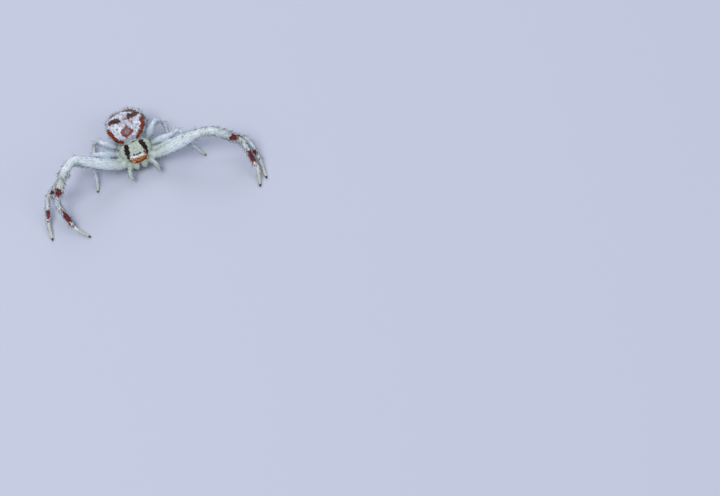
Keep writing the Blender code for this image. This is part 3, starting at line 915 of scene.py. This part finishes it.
def skinFinish():
    look = Finish("living skin", 0.44, **{
        "Subsurface Weight": 0.07, "Subsurface Scale": 0.08 * mm, "Specular IOR Level": 0.15,
    })
    look.shader.inputs["Subsurface Radius"].default_value = (1.0, 0.8, 0.6)
    patterns = skinPatterns(look)
    colour = look.mix(patterns["legness"], foreBodyColour(look, patterns), legColour(look, patterns))
    colour = look.mix(look.attribute("hindBody"), colour, hindBodyColour(look, patterns))

    rough = patterns["rough"]
    patchy = look.sums("MULTIPLY", rough, 1.5)
    patchy = look.sums("ADD", patchy, look.sums("MULTIPLY", patterns["ragged"], 0.4))
    edges = {"rim": rough, "bar": rough, "stripe": rough, "band": rough, "crimson": patchy}
    for name, paint in markColours(look, patterns).items():
        colour = look.mix(marked(look, name, edges.get(name, patterns["wander"])), colour, paint)

    flecks = look.ramp(look.dots(skinPattern["dot"]), 0.26, 0.38, 1.0, 0.0)
    flecks = look.sums("MULTIPLY", flecks, look.ramp(look.attribute("flecks"), 0.0, 0.12))
    flecks = look.sums("MULTIPLY", flecks, look.ramp(look.noise(skinPattern["fleckPatch"]), 0.44, 0.56))
    colour = look.mix(look.sums("MULTIPLY", flecks, 0.95), colour, skinColours["fleck"])
    tips = look.sums("MULTIPLY", look.ramp(patterns["station"], 5.9, 5.97), patterns["legness"])
    colour = look.mix(tips, colour, skinColours["tip"])

    height = look.sums("MULTIPLY", patterns["fine"], 0.6)
    height = look.sums("ADD", height, look.sums("MULTIPLY", patterns["middle"], 0.8))
    return look.finish(colour, height, skinPattern["bump"], skinPattern["bumpDepth"])


skin = linkedObject("skin", skinMesh)
skinMesh.materials.clear()
skinMesh.materials.append(skinFinish())
fleshNodes = [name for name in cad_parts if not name.startswith("eye_")]
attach(skin, "root")
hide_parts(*fleshNodes)
print("skin finished, standing for", len(fleshNodes), "nodes")


# glossy eyes

# the ring and the middle of each kind of eye; the pale middle of the front middle eyes is a painted glint,
# the others are the eyes' own colours
eyeColoursAndGlint = {
    "front_middle": ((0.10, 0.035, 0.012), (0.52, 0.40, 0.34)),
    "front_side": ((0.10, 0.06, 0.01), (0.008, 0.010, 0.007)),
    "back_middle": ((0.02, 0.02, 0.02), (0.006, 0.008, 0.012)),
    "back_side": ((0.05, 0.06, 0.07), (0.012, 0.016, 0.024)),
}


def eyeFinish(kind):
    look = Finish("eye " + kind.replace("_", " "), 0.08, **{"Coat Weight": 1.0, "Coat Roughness": 0.03})
    ring, middle = eyeColoursAndGlint[kind]
    # the middle is the part that faces straight out; on the front middle eyes its pale colour is a painted
    # glint
    colour = look.mix(look.ramp(look.attribute("facing"), 0.72, 0.95), ring, middle)
    return look.finish(look.mix(look.ramp(look.noise(0.05), 0.3, 0.8, 0.0, 0.25), colour, ring))


for eyeName, (kind, hit, normal, radius) in eyeSpots.items():
    bm = bmesh.new()
    bmesh.ops.create_icosphere(bm, subdivisions=4, radius=radius)
    facing = [vertex.co.normalized().dot(normal) for vertex in bm.verts]
    bmesh.ops.translate(bm, vec=hit + normal * eyePlan["stand"], verts=bm.verts)
    eyeMesh = meshOf(eyeName + "_ball", [bm])
    setFloats(eyeMesh, "facing", facing)
    eyeMesh.transform(toWorld)
    eyeMesh.shade_smooth()
    eyeMesh.materials.append(eyeFinish(kind))
    eye = linkedObject(eyeName + "_ball", eyeMesh)
    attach(eye, "root")
    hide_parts(eyeName)
print("eyes set")


# claws and fangs: two small hooks at each foot, and one folded under each jaw

clawPlan = {
    "length": 0.13, "radius": 0.024, "apart": 0.045, "splay": 0.01, "drop": 0.07, "back": 0.05,
    "bendAt": 0.75, "bendRise": 0.02, "rounding": 0.07, "steps": 8,
}
fangPlan = {
    "corners": ((0.27, -1.52, 0.6), (0.2, -1.5, 0.42), (0.06, -1.42, 0.4)), "radius": 0.05, "rounding": 0.12,
    "steps": 10,
}
hookTaper = 0.085  # share of a hook's first radius that goes at each step


def hookForm(corners, plan):
    points, distances, _ = roundedLine(corners, plan["rounding"])
    steps = range(plan["steps"] + 1)
    places = [placeAlong(points, distances, distances[-1] * step / plan["steps"]) for step in steps]
    radii = [plan["radius"] * (1.0 - hookTaper * step) for step in steps]
    return tubeForm(places, radii, sides=plan["steps"])


def footOf(leg):
    samples = legLines[leg]
    ahead = (samples[-1][0] - samples[-4][0]).normalized()
    return samples[-1][0], ahead, *sidesOf(ahead)


def clawForms():
    plan = clawPlan
    forms = []
    for leg in legLines:
        tip, ahead, level, _ = footOf(leg)
        for side in (-1, 1):
            root = tip - ahead * plan["back"] + level * plan["apart"] * side
            bend = root + ahead * plan["length"] * plan["bendAt"] + upward * plan["bendRise"]
            end = root + ahead * plan["length"] + level * plan["splay"] * side - upward * plan["drop"]
            forms.append(hookForm([root, bend, end], plan))
    return forms


def fangForms():
    forms = []
    for side in sideSigns.values():
        forms.append(hookForm([Vector((side * x, y, z)) for x, y, z in fangPlan["corners"]], fangPlan))
    return forms


clawMesh = meshOf("claws", clawForms() + fangForms())
clawMesh.transform(toWorld)
clawMesh.shade_smooth()
horn = Finish("dark horn", 0.25)
clawMesh.materials.append(horn.finish(horn.mix(horn.noise(0.05), (0.012, 0.008, 0.008), (0.05, 0.028, 0.02))))
claws = linkedObject("claws", clawMesh)
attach(claws, "root")
print("claws made")


# bristles: every one is a tapered, bent spike, set by Geometry Nodes on a skin or on given roots

# a spike has this many sides and steps, and its tip and lengths are shares of the sizes given
bristlePlan = {
    "sides": 3, "steps": 4, "tip": 0.12, "lengths": (0.7, 1.15),
    "seeds": {"tone": 11, "stray": 3, "length": 5},
}


class BristleTree(NodeTree):

    def __init__(self, name, onSkin):
        self.tree = bpy.data.node_groups.new(name, "GeometryNodeTree")
        self.wanted = {}
        face = self.tree.interface
        face.new_socket("Roots", in_out="INPUT", socket_type="NodeSocketGeometry")
        for label, kind, value in (
            ("Density", "NodeSocketFloat", 30.0e6), ("Length", "NodeSocketFloat", 0.2 * mm),
            ("Thickness", "NodeSocketFloat", 0.01 * mm), ("Bend", "NodeSocketFloat", 0.2),
            ("Lift", "NodeSocketFloat", 0.6), ("Spread", "NodeSocketFloat", 0.25),
            ("Ground", "NodeSocketFloat", 0.004 * mm), ("Ceiling", "NodeSocketFloat", cadBox[1][2]),
            ("Seed", "NodeSocketInt", 1), ("Finish", "NodeSocketMaterial", None),
        ):
            socket = face.new_socket(label, in_out="INPUT", socket_type=kind)
            if value is not None:
                socket.default_value = value
            self.wanted[label] = socket.identifier
        face.new_socket("Bristles", in_out="OUTPUT", socket_type="NodeSocketGeometry")
        self.start = self.add("NodeGroupInput")
        points, normal = self.rootsOnSkin() if onSkin else self.rootsGiven()
        self.build(points, normal)

    def given(self, label):
        return self.start.outputs[label]

    def named(self, name, kind="FLOAT"):
        node = self.add("GeometryNodeInputNamedAttribute", data_type=kind)
        node.inputs["Name"].default_value = name
        return node.outputs["Attribute"]

    def arrows(self, operation, first, second=None, scale=None):
        node = self.add("ShaderNodeVectorMath", operation=operation)
        self.put(first, node.inputs[0])
        if second is not None:
            self.put(second, node.inputs[1])
        if scale is not None:
            self.put(scale, node.inputs["Scale"])
        return node.outputs[0]

    def chance(self, low, high, name, kind="FLOAT"):
        node = self.add("FunctionNodeRandomValue", data_type=kind)
        lowSocket, highSocket, result = (0, 1, 0) if kind == "FLOAT_VECTOR" else (2, 3, 1)
        self.put(low, node.inputs[lowSocket])
        self.put(high, node.inputs[highSocket])
        self.put(self.sums("ADD", self.given("Seed"), bristlePlan["seeds"][name]), node.inputs["Seed"])
        return node.outputs[result]

    def rootsOnSkin(self):
        spread = self.add("GeometryNodeDistributePointsOnFaces", distribute_method="RANDOM")
        self.put(self.given("Roots"), spread.inputs["Mesh"])
        density = self.sums("MULTIPLY", self.given("Density"), self.named("hairShare"))
        self.put(density, spread.inputs["Density"])
        self.put(self.given("Seed"), spread.inputs["Seed"])
        return spread.outputs["Points"], spread.outputs["Normal"]

    def rootsGiven(self):
        convert = self.add("GeometryNodeMeshToPoints")
        self.put(self.given("Roots"), convert.inputs["Mesh"])
        return convert.outputs["Points"], self.named("outward", "FLOAT_VECTOR")

    def aimFrom(self, normal):
        # between the way the coat lies and straight out, with some stray
        along = self.sums("SUBTRACT", 1.0, self.given("Lift"))
        lean = self.arrows("SCALE", self.named("aim", "FLOAT_VECTOR"), scale=along)
        rise = self.arrows("SCALE", normal, scale=self.given("Lift"))
        anyWay = self.chance((-1, -1, -1), (1, 1, 1), "stray", "FLOAT_VECTOR")
        stray = self.arrows("SCALE", anyWay, scale=self.given("Spread"))
        return self.arrows("NORMALIZE", self.arrows("ADD", self.arrows("ADD", lean, rise), stray))

    def bentSpike(self):
        spike = self.add("GeometryNodeMeshCone", fill_type="NGON")
        for label, value in (
            ("Vertices", bristlePlan["sides"]), ("Side Segments", bristlePlan["steps"]),
            ("Radius Top", bristlePlan["tip"]), ("Radius Bottom", 1.0), ("Depth", 1.0),
        ):
            self.put(value, spike.inputs[label])
        parts = self.add("ShaderNodeSeparateXYZ")
        self.put(self.add("GeometryNodeInputPosition").outputs[0], parts.inputs[0])
        ratio = self.sums("DIVIDE", self.given("Length"), self.given("Thickness"))
        sag = self.sums("MULTIPLY", self.sums("POWER", parts.outputs["Z"], 2.0),
                        self.sums("MULTIPLY", ratio, self.given("Bend")))
        shift = self.add("ShaderNodeCombineXYZ")
        self.put(self.sums("MULTIPLY", sag, -1.0), shift.inputs["X"])
        bent = self.add("GeometryNodeSetPosition")
        self.put(spike.outputs["Mesh"], bent.inputs["Geometry"])
        self.put(shift.outputs[0], bent.inputs["Offset"])
        return bent.outputs["Geometry"]

    def clearOf(self, aim, length):
        # a bristle whose tip would pass the floor or the top of the solids is left out
        root = self.add("GeometryNodeInputPosition").outputs[0]
        tip = self.arrows("ADD", root, self.arrows("SCALE", aim, scale=length))
        parts = self.add("ShaderNodeSeparateXYZ")
        self.put(tip, parts.inputs[0])
        above = self.sums("GREATER_THAN", parts.outputs["Z"], self.given("Ground"))
        below = self.sums("LESS_THAN", parts.outputs["Z"], self.given("Ceiling"))
        return self.sums("MULTIPLY", above, below)

    def build(self, points, normal):
        tone = self.add("GeometryNodeStoreNamedAttribute", data_type="FLOAT", domain="POINT")
        self.put(points, tone.inputs["Geometry"])
        self.put("tone", tone.inputs["Name"])
        self.put(self.chance(0.0, 1.0, "tone"), tone.inputs["Value"])

        aim = self.aimFrom(normal)
        upright = self.add("FunctionNodeAlignRotationToVector", axis="Z")
        self.put(aim, upright.inputs["Vector"])
        turned = self.add("FunctionNodeAlignRotationToVector", axis="X", pivot_axis="Z")
        self.put(upright.outputs["Rotation"], turned.inputs["Rotation"])
        self.put(normal, turned.inputs["Vector"])

        length = self.sums("MULTIPLY", self.given("Length"), self.named("lengthShare"))
        length = self.sums("MULTIPLY", length, self.chance(*bristlePlan["lengths"], "length"))
        size = self.add("ShaderNodeCombineXYZ")
        self.put(self.given("Thickness"), size.inputs["X"])
        self.put(self.given("Thickness"), size.inputs["Y"])
        self.put(length, size.inputs["Z"])

        instances = self.add("GeometryNodeInstanceOnPoints")
        self.put(self.clearOf(aim, length), instances.inputs["Selection"])
        self.put(tone.outputs["Geometry"], instances.inputs["Points"])
        self.put(self.bentSpike(), instances.inputs["Instance"])
        self.put(turned.outputs["Rotation"], instances.inputs["Rotation"])
        self.put(size.outputs[0], instances.inputs["Scale"])
        solid = self.add("GeometryNodeRealizeInstances")
        self.put(instances.outputs["Instances"], solid.inputs["Geometry"])
        finish = self.add("GeometryNodeSetMaterial")
        self.put(solid.outputs["Geometry"], finish.inputs["Geometry"])
        self.put(self.given("Finish"), finish.inputs["Material"])
        end = self.add("NodeGroupOutput")
        self.put(finish.outputs["Geometry"], end.inputs["Bristles"])


def growBristles(name, mesh, tree, finish, slot, **sizes):
    carrier = linkedObject(name + "Roots", mesh)
    modifier = carrier.modifiers.new("bristles", "NODES")
    modifier.node_group = tree.tree
    for label, value in {**sizes, "Finish": finish}.items():
        modifier[tree.wanted[label]] = value
    grown = applied(carrier)
    dropObject(carrier)
    bakeOnRoots(grown)
    grown.name = name
    grown.shade_smooth()
    piece = linkedObject(name, grown)
    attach(piece, "root")
    print(name + ":", len(grown.polygons), "faces")
    return piece


def bakeOnRoots(mesh):
    # each bristle is a small patch at its root's place on the unwrap
    sides, steps = bristlePlan["sides"], bristlePlan["steps"]
    roots = np.zeros(len(mesh.vertices) * 3, np.float32)
    mesh.attributes["unwrap"].data.foreach_get("vector", roots)
    roots = roots.reshape(-1, 3)
    corners = np.zeros(len(mesh.loops), np.int32)
    mesh.loops.foreach_get("vertex_index", corners)
    cells = np.stack([corners % sides / (sides - 1), corners // sides % (steps + 1) / steps], axis=1)
    places = roots[corners, :2] + (cells - 0.5) * unwrapPlan["patch"]
    layer = mesh.uv_layers.new(name="OFBake")
    layer.data.foreach_set("uv", places.astype(np.float32).ravel())


def hairFinish(name, dark, light):
    look = Finish(name, 0.45)
    colour = look.mix(look.ramp(look.attribute("tone"), 0.35, 0.95), dark, light)
    return look.finish(look.mix(look.ramp(look.noise(0.05), 0.3, 0.7, 0.0, 0.25), colour, light))


# the unwrap gives each leg one upright strip out of ten, and the body the last two
unwrapPlan = {
    "strips": 10.0, "legFill": 0.9, "bodyMiddle": 0.9, "bodyFill": 0.18, "axisHeight": 1.5, "front": 2.6,
    "length": 7.0, "legEnds": (0.01, 0.99), "bodyEnds": (0.02, 0.98), "patch": 0.003,
}
# which way hair lies on the face, on the rest of the fore body and on the hind body
growthPlan = {
    "headFrom": -1.3, "faceAim": (0.0, -0.6, -0.75), "foreAim": (0.0, -0.5, 0.35),
    "hindAim": (0.0, 0.95, 0.15),
}
# how thickly fine hair grows, first in the middle of each leg segment and then on the body
coatPlan = {
    "front": (0.3, 0.3, 0.8, 1.0, 1.0, 0.7), "hind": (0.2, 0.3, 0.4, 0.5, 0.6, 0.7),
    "lengths": (0.8, 0.95, 1.15, 1.15, 0.95, 0.6), "bodyLength": 0.95,
    "rim": 0.6, "rimHeight": 2.1, "rimDepth": 0.9, "top": 0.24, "carapace": 0.14, "feelers": 0.8,
    "lowest": 0.07,
    "roots": {"Density": 36.0e6, "Length": 0.27 * mm, "Thickness": 0.0095 * mm, "Bend": 0.14, "Lift": 0.45,
              "Spread": 0.2, "Seed": 7},
}
# sparse long bristles stand up from the legs and around the hind body
longPlan = {
    "front": (0.0, 0.2, 0.9, 1.0, 0.8, 0.0), "hind": (0.0, 0.1, 0.25, 0.3, 0.3, 0.0),
    "rearFrom": 3.5, "rearLength": 0.7,
    "rim": 0.8, "rimHeight": 2.2, "rimDepth": 0.7, "top": 0.15, "carapace": 0.08, "feelers": 0.5,
    "lowest": 0.12,
    "roots": {"Density": 8.0e6, "Length": 0.43 * mm, "Thickness": 0.019 * mm, "Bend": 0.12, "Lift": 0.6,
              "Spread": 0.2, "Seed": 13},
}
segmentMiddles = np.arange(len(segmentNames)) + 0.5
headward = (skinPlaces[:, 1] < growthPlan["headFrom"]) & (skinAt["legness"] < 0.5)


def unwrapSkin():
    plan = unwrapPlan
    onLeg = skinAt["legness"] > 0.5
    legU = (skinAt["leg"] + 0.5 + skinAt["turn"] / (2 * math.pi) * plan["legFill"]) / plan["strips"]
    legV = np.clip(skinAt["station"] / len(segmentNames), *plan["legEnds"])
    around = np.arctan2(skinPlaces[:, 0], skinPlaces[:, 2] - plan["axisHeight"]) / (2 * math.pi)
    bodyU = plan["bodyMiddle"] + around * plan["bodyFill"]
    bodyV = np.clip((skinPlaces[:, 1] + plan["front"]) / plan["length"], *plan["bodyEnds"])
    return np.stack([np.where(onLeg, legU, bodyU), np.where(onLeg, legV, bodyV), np.zeros(len(legU))], axis=1)


def hairAims():
    legness = skinAt["legness"][:, None]
    body = np.where(headward[:, None], growthPlan["faceAim"], growthPlan["foreAim"])
    body = body + (np.array(growthPlan["hindAim"]) - body) * hindAt[:, None]
    return skinAt["ahead"] * legness + body * (1.0 - legness)


def growthMesh(plan, lengths):
    front, hind = (np.interp(skinAt["station"], segmentMiddles, plan[key]) for key in ("front", "hind"))
    rimness = np.clip(1.0 - np.abs(skinPlaces[:, 2] - plan["rimHeight"]) / plan["rimDepth"], 0.0, 1.0)
    body = np.where(headward, plan["feelers"], plan["carapace"])
    body += (plan["top"] + (plan["rim"] - plan["top"]) * rimness - body) * hindAt
    share = np.where(skinAt["hindness"] > 0.5, hind, front) * skinAt["legness"]
    share += body * (1.0 - skinAt["legness"])
    share[skinPlaces[:, 2] < plan["lowest"]] = 0.0
    mesh = skinMesh.copy()
    setFloats(mesh, "hairShare", share)
    setFloats(mesh, "lengthShare", lengths)
    return mesh


unwrapAt = unwrapSkin()
setVectors(skinMesh, "aim", hairAims())
setVectors(skinMesh, "unwrap", unwrapAt)
coatLengths = np.interp(skinAt["station"], segmentMiddles, coatPlan["lengths"]) * skinAt["legness"]
coatLengths += (1.0 - skinAt["legness"]) * coatPlan["bodyLength"]
longLengths = np.where(skinPlaces[:, 1] > longPlan["rearFrom"], longPlan["rearLength"], 1.0)
hairTree = BristleTree("hair over a skin", True)
rootTree = BristleTree("bristles on roots", False)
fineHair = hairFinish("fine hair", (0.025, 0.018, 0.016), (0.22, 0.20, 0.18))
darkHair = hairFinish("dark bristle", (0.012, 0.008, 0.008), (0.06, 0.035, 0.025))
for name, lengths, finish, plan in (
    ("fine_hair", coatLengths, fineHair, coatPlan),
    ("long_bristles", longLengths, darkHair, longPlan),
):
    growBristles(name, growthMesh(plan, lengths), hairTree, finish, "front_leg", **plan["roots"])


# strong spines under the front legs, long bristles on the head and feelers, and the tufts of the feet

goldenTurn = 2.39996  # the golden angle in radians, which spreads points evenly
spinePlan = {
    "turns": (118.0, -118.0, 158.0, -158.0),
    # first and last place along the leg, spines in a row, and rows
    "segments": {"tibia": (3.25, 3.92, 5, 2), "metatarsus": (4.08, 4.9, 6, 4)},
    "rootShare": 0.96, "shortest": 0.75, "growth": 0.3,
    "roots": {"Length": 0.6 * mm, "Thickness": 0.021 * mm, "Bend": 0.1, "Lift": 0.42, "Spread": 0.07,
              "Seed": 3},
}
tuftPlan = {
    "count": 36, "reach": 0.15, "back": 0.05, "radius": 0.09, "forward": 0.8, "lowest": 0.03,
    "topLength": 0.7,
    "roots": {"Length": 0.1 * mm, "Thickness": 0.01 * mm, "Bend": 0.1, "Lift": 0.45, "Spread": 0.2,
              "Seed": 5},
}
feelerBristles = {"count": 14, "from": 0.38, "span": 0.58, "ahead": 0.05, "rootShare": 0.95, "length": 0.8}
headBristles = {
    # sideways and forward place, then the way it points
    "places": ((0.93, 0.55, 0.5, -0.25, 0.8), (1.08, 0.1, 0.8, -0.1, 0.6), (0.5, 0.55, 0.25, -0.2, 0.95),
               (0.12, 0.5, 0.1, -0.3, 0.95), (0.92, 0.86, 0.6, -0.6, 0.5), (0.42, 1.2, 0.25, -0.9, 0.4),
               (1.2, -0.4, 0.85, 0.2, 0.5), (0.2, -0.3, 0.1, -0.3, 0.9)),
    "above": 4.0,
    "roots": {"Length": 0.42 * mm, "Thickness": 0.013 * mm, "Bend": 0.14, "Lift": 0.3, "Spread": 0.05,
              "Seed": 9},
}
skinTree = KDTree(len(skinPlaces))
for row, place in enumerate(skinPlaces):
    skinTree.insert(place, row)
skinTree.balance()


def rootMesh(name, roots):
    mesh = bpy.data.meshes.new(name)
    places, aims, outs, lengths = zip(*roots)
    mesh.from_pydata([tuple(place) for place in places], [], [])
    setVectors(mesh, "aim", [tuple(aim) for aim in aims])
    setVectors(mesh, "outward", [tuple(out) for out in outs])
    setFloats(mesh, "lengthShare", lengths)
    setVectors(mesh, "unwrap", unwrapAt[[skinTree.find(place)[1] for place in places]])
    mesh.transform(toWorld)
    return mesh


def placeOnLeg(leg, station):
    samples = legLines[leg]
    index = min(range(len(samples)), key=lambda row: abs(samples[row][2] - station))
    ahead = (samples[min(index + 1, len(samples) - 1)][0] - samples[max(index - 1, 0)][0]).normalized()
    return samples[index][0], samples[index][1], ahead


def spineRoots():
    plan = spinePlan
    roots = []
    for leg in frontLegs:
        for low, high, count, rows in plan["segments"].values():
            for row, turn in enumerate(plan["turns"][:rows]):
                turn = math.radians(turn)
                for step in range(count):
                    share = (step + 0.5 * (row % 2)) / count
                    point, radius, ahead = placeOnLeg(leg, low + (high - low) * share)
                    level, upright = sidesOf(ahead)
                    out = upright * math.cos(turn) + level * math.sin(turn)
                    length = plan["shortest"] + plan["growth"] * share
                    roots.append((point + out * radius * plan["rootShare"], ahead, out, length))
    return roots


def tuftRoots():
    plan = tuftPlan
    roots = []
    for leg in legLines:
        tip, ahead, level, upright = footOf(leg)
        for step in range(plan["count"]):
            turn = step * goldenTurn
            share = (step + 0.5) / plan["count"]
            out = (upright * math.cos(turn) + level * math.sin(turn)) * math.sqrt(share)
            out = (out + ahead * (1.0 - share) * plan["forward"]).normalized()
            place = tip - ahead * (plan["back"] + plan["reach"] * share) + out * plan["radius"]
            if place.z > plan["lowest"]:
                roots.append((place, ahead, out, 1.0 if out.z < 0.5 else plan["topLength"]))
    return roots


def feelerRoots():
    plan = feelerBristles
    roots = []
    for line in feelerPlan["lines"].values():
        points, distances, _ = roundedLine([Vector(corner) for corner in line], feelerPlan["rounding"])
        total = distances[-1]
        for step in range(plan["count"]):
            distance = total * (plan["from"] + plan["span"] * step / plan["count"])
            point = placeAlong(points, distances, distance)
            ahead = (placeAlong(points, distances, distance + plan["ahead"]) - point).normalized()
            level, upright = sidesOf(ahead)
            turn = step * goldenTurn
            out = level * math.cos(turn) + upright * math.sin(turn)
            radius = between(feelerPlan["radii"], distance / total) * plan["rootShare"]
            roots.append((point + out * radius, ahead, out, plan["length"]))
    return roots


def headRoots():
    faces = [tuple(face.vertices) for face in skinMesh.polygons]
    surface = BVHTree.FromPolygons([tuple(place) for place in skinPlaces], faces)
    roots = []
    for across, forward, x, y, z in headBristles["places"]:
        for side in (-1, 1):
            above = Vector((across * side, -forward, headBristles["above"]))
            hit, normal, _, _ = surface.ray_cast(above, -upward)
            roots.append((hit, Vector((x * side, y, z)).normalized(), normal, 1.0))
    return roots


for name, roots, slot, plan in (
    ("leg_spines", spineRoots(), "front_leg", spinePlan),
    ("foot_tufts", tuftRoots(), "front_leg", tuftPlan),
    ("head_bristles", headRoots() + feelerRoots(), "carapace", headBristles),
):
    growBristles(name, rootMesh(name + "Roots", roots), rootTree, darkHair, slot, **plan["roots"])


# floor, light and camera

floorPlan = {"size": 1.2, "colour": (0.50, 0.53, 0.65)}
floorMesh = bpy.data.meshes.new("floor")
half = floorPlan["size"] / 2
corners = [(-half, -half, 0), (half, -half, 0), (half, half, 0), (-half, half, 0)]
floorMesh.from_pydata(corners, [], [(0, 1, 2, 3)])
floor = linkedObject("floor", floorMesh)
floorFinish = Finish("pale floor", 0.75)
floorMesh.materials.append(floorFinish.finish(floorPlan["colour"]))

lightPlan = {
    "key": {"place": (-0.12, -0.05, 0.26), "size": 0.16, "power": 0.44, "colour": (1.0, 0.98, 0.95)},
    "fill": {"place": (0.2, -0.16, 0.16), "size": 0.2, "power": 0.22, "colour": (0.88, 0.93, 1.0)},
    "back": {"place": (0.05, 0.22, 0.18), "size": 0.16, "power": 0.24, "colour": (0.92, 0.95, 1.0)},
}
for lightName, plan in lightPlan.items():
    data = bpy.data.lights.new(lightName, "AREA")
    data.size = plan["size"]
    data.energy = plan["power"]
    data.color = plan["colour"]
    lamp = bpy.data.objects.new(lightName, data)
    lamp.location = plan["place"]
    lamp.rotation_euler = (-Vector(plan["place"])).to_track_quat("-Z", "Y").to_euler()
    bpy.context.scene.collection.objects.link(lamp)

worldPlan = {"Color": (0.85, 0.88, 0.95, 1.0), "Strength": 0.48}
world = bpy.data.worlds.new("studio")
world.use_nodes = True
for label, value in worldPlan.items():
    world.node_tree.nodes["Background"].inputs[label].default_value = value
bpy.context.scene.world = world
bpy.context.scene.view_settings.view_transform = "Standard"

# the photo is taken as 720 by 496; the carapace's crown shows at the pixel below
cameraPlan = {
    "azimuth": -6.0, "elevation": 60.0, "roll": -14.0, "distance": 0.36, "lens": 200.0, "sensor": 36.0,
    "image": (720, 496), "crownPixel": (135.55, 149.7), "crown": (0.0, 0.0, 1.5),
    "nearest": 0.01, "furthest": 10.0,
}


def placeCamera():
    plan = cameraPlan
    azimuth, elevation, roll = (math.radians(plan[key]) for key in ("azimuth", "elevation", "roll"))
    level = Vector((math.cos(azimuth), math.sin(azimuth), 0.0))
    flat = math.cos(elevation)
    back = Vector((math.sin(azimuth) * flat, -math.cos(azimuth) * flat, math.sin(elevation)))
    rise = back.cross(level)
    right = level * math.cos(roll) + rise * math.sin(roll)
    up = rise * math.cos(roll) - level * math.sin(roll)
    width, height = plan["image"]
    focal = width * plan["lens"] / plan["sensor"]
    pixelX, pixelY = plan["crownPixel"]
    crown = bodyMiddle + Vector(plan["crown"]) * mm
    across = (pixelX - width / 2) / focal
    below = (pixelY - height / 2) / focal
    place = crown - (right * across - up * below - back) * plan["distance"]
    data = bpy.data.cameras.new("camera")
    data.lens = plan["lens"]
    data.sensor_width = plan["sensor"]
    data.clip_start = plan["nearest"]
    data.clip_end = plan["furthest"]
    camera = bpy.data.objects.new("camera", data)
    turn = Matrix((right, up, back)).transposed()
    camera.matrix_world = Matrix.Translation(place) @ turn.to_4x4()
    bpy.context.scene.collection.objects.link(camera)
    bpy.context.scene.camera = camera


placeCamera()
print("camera and lights set")
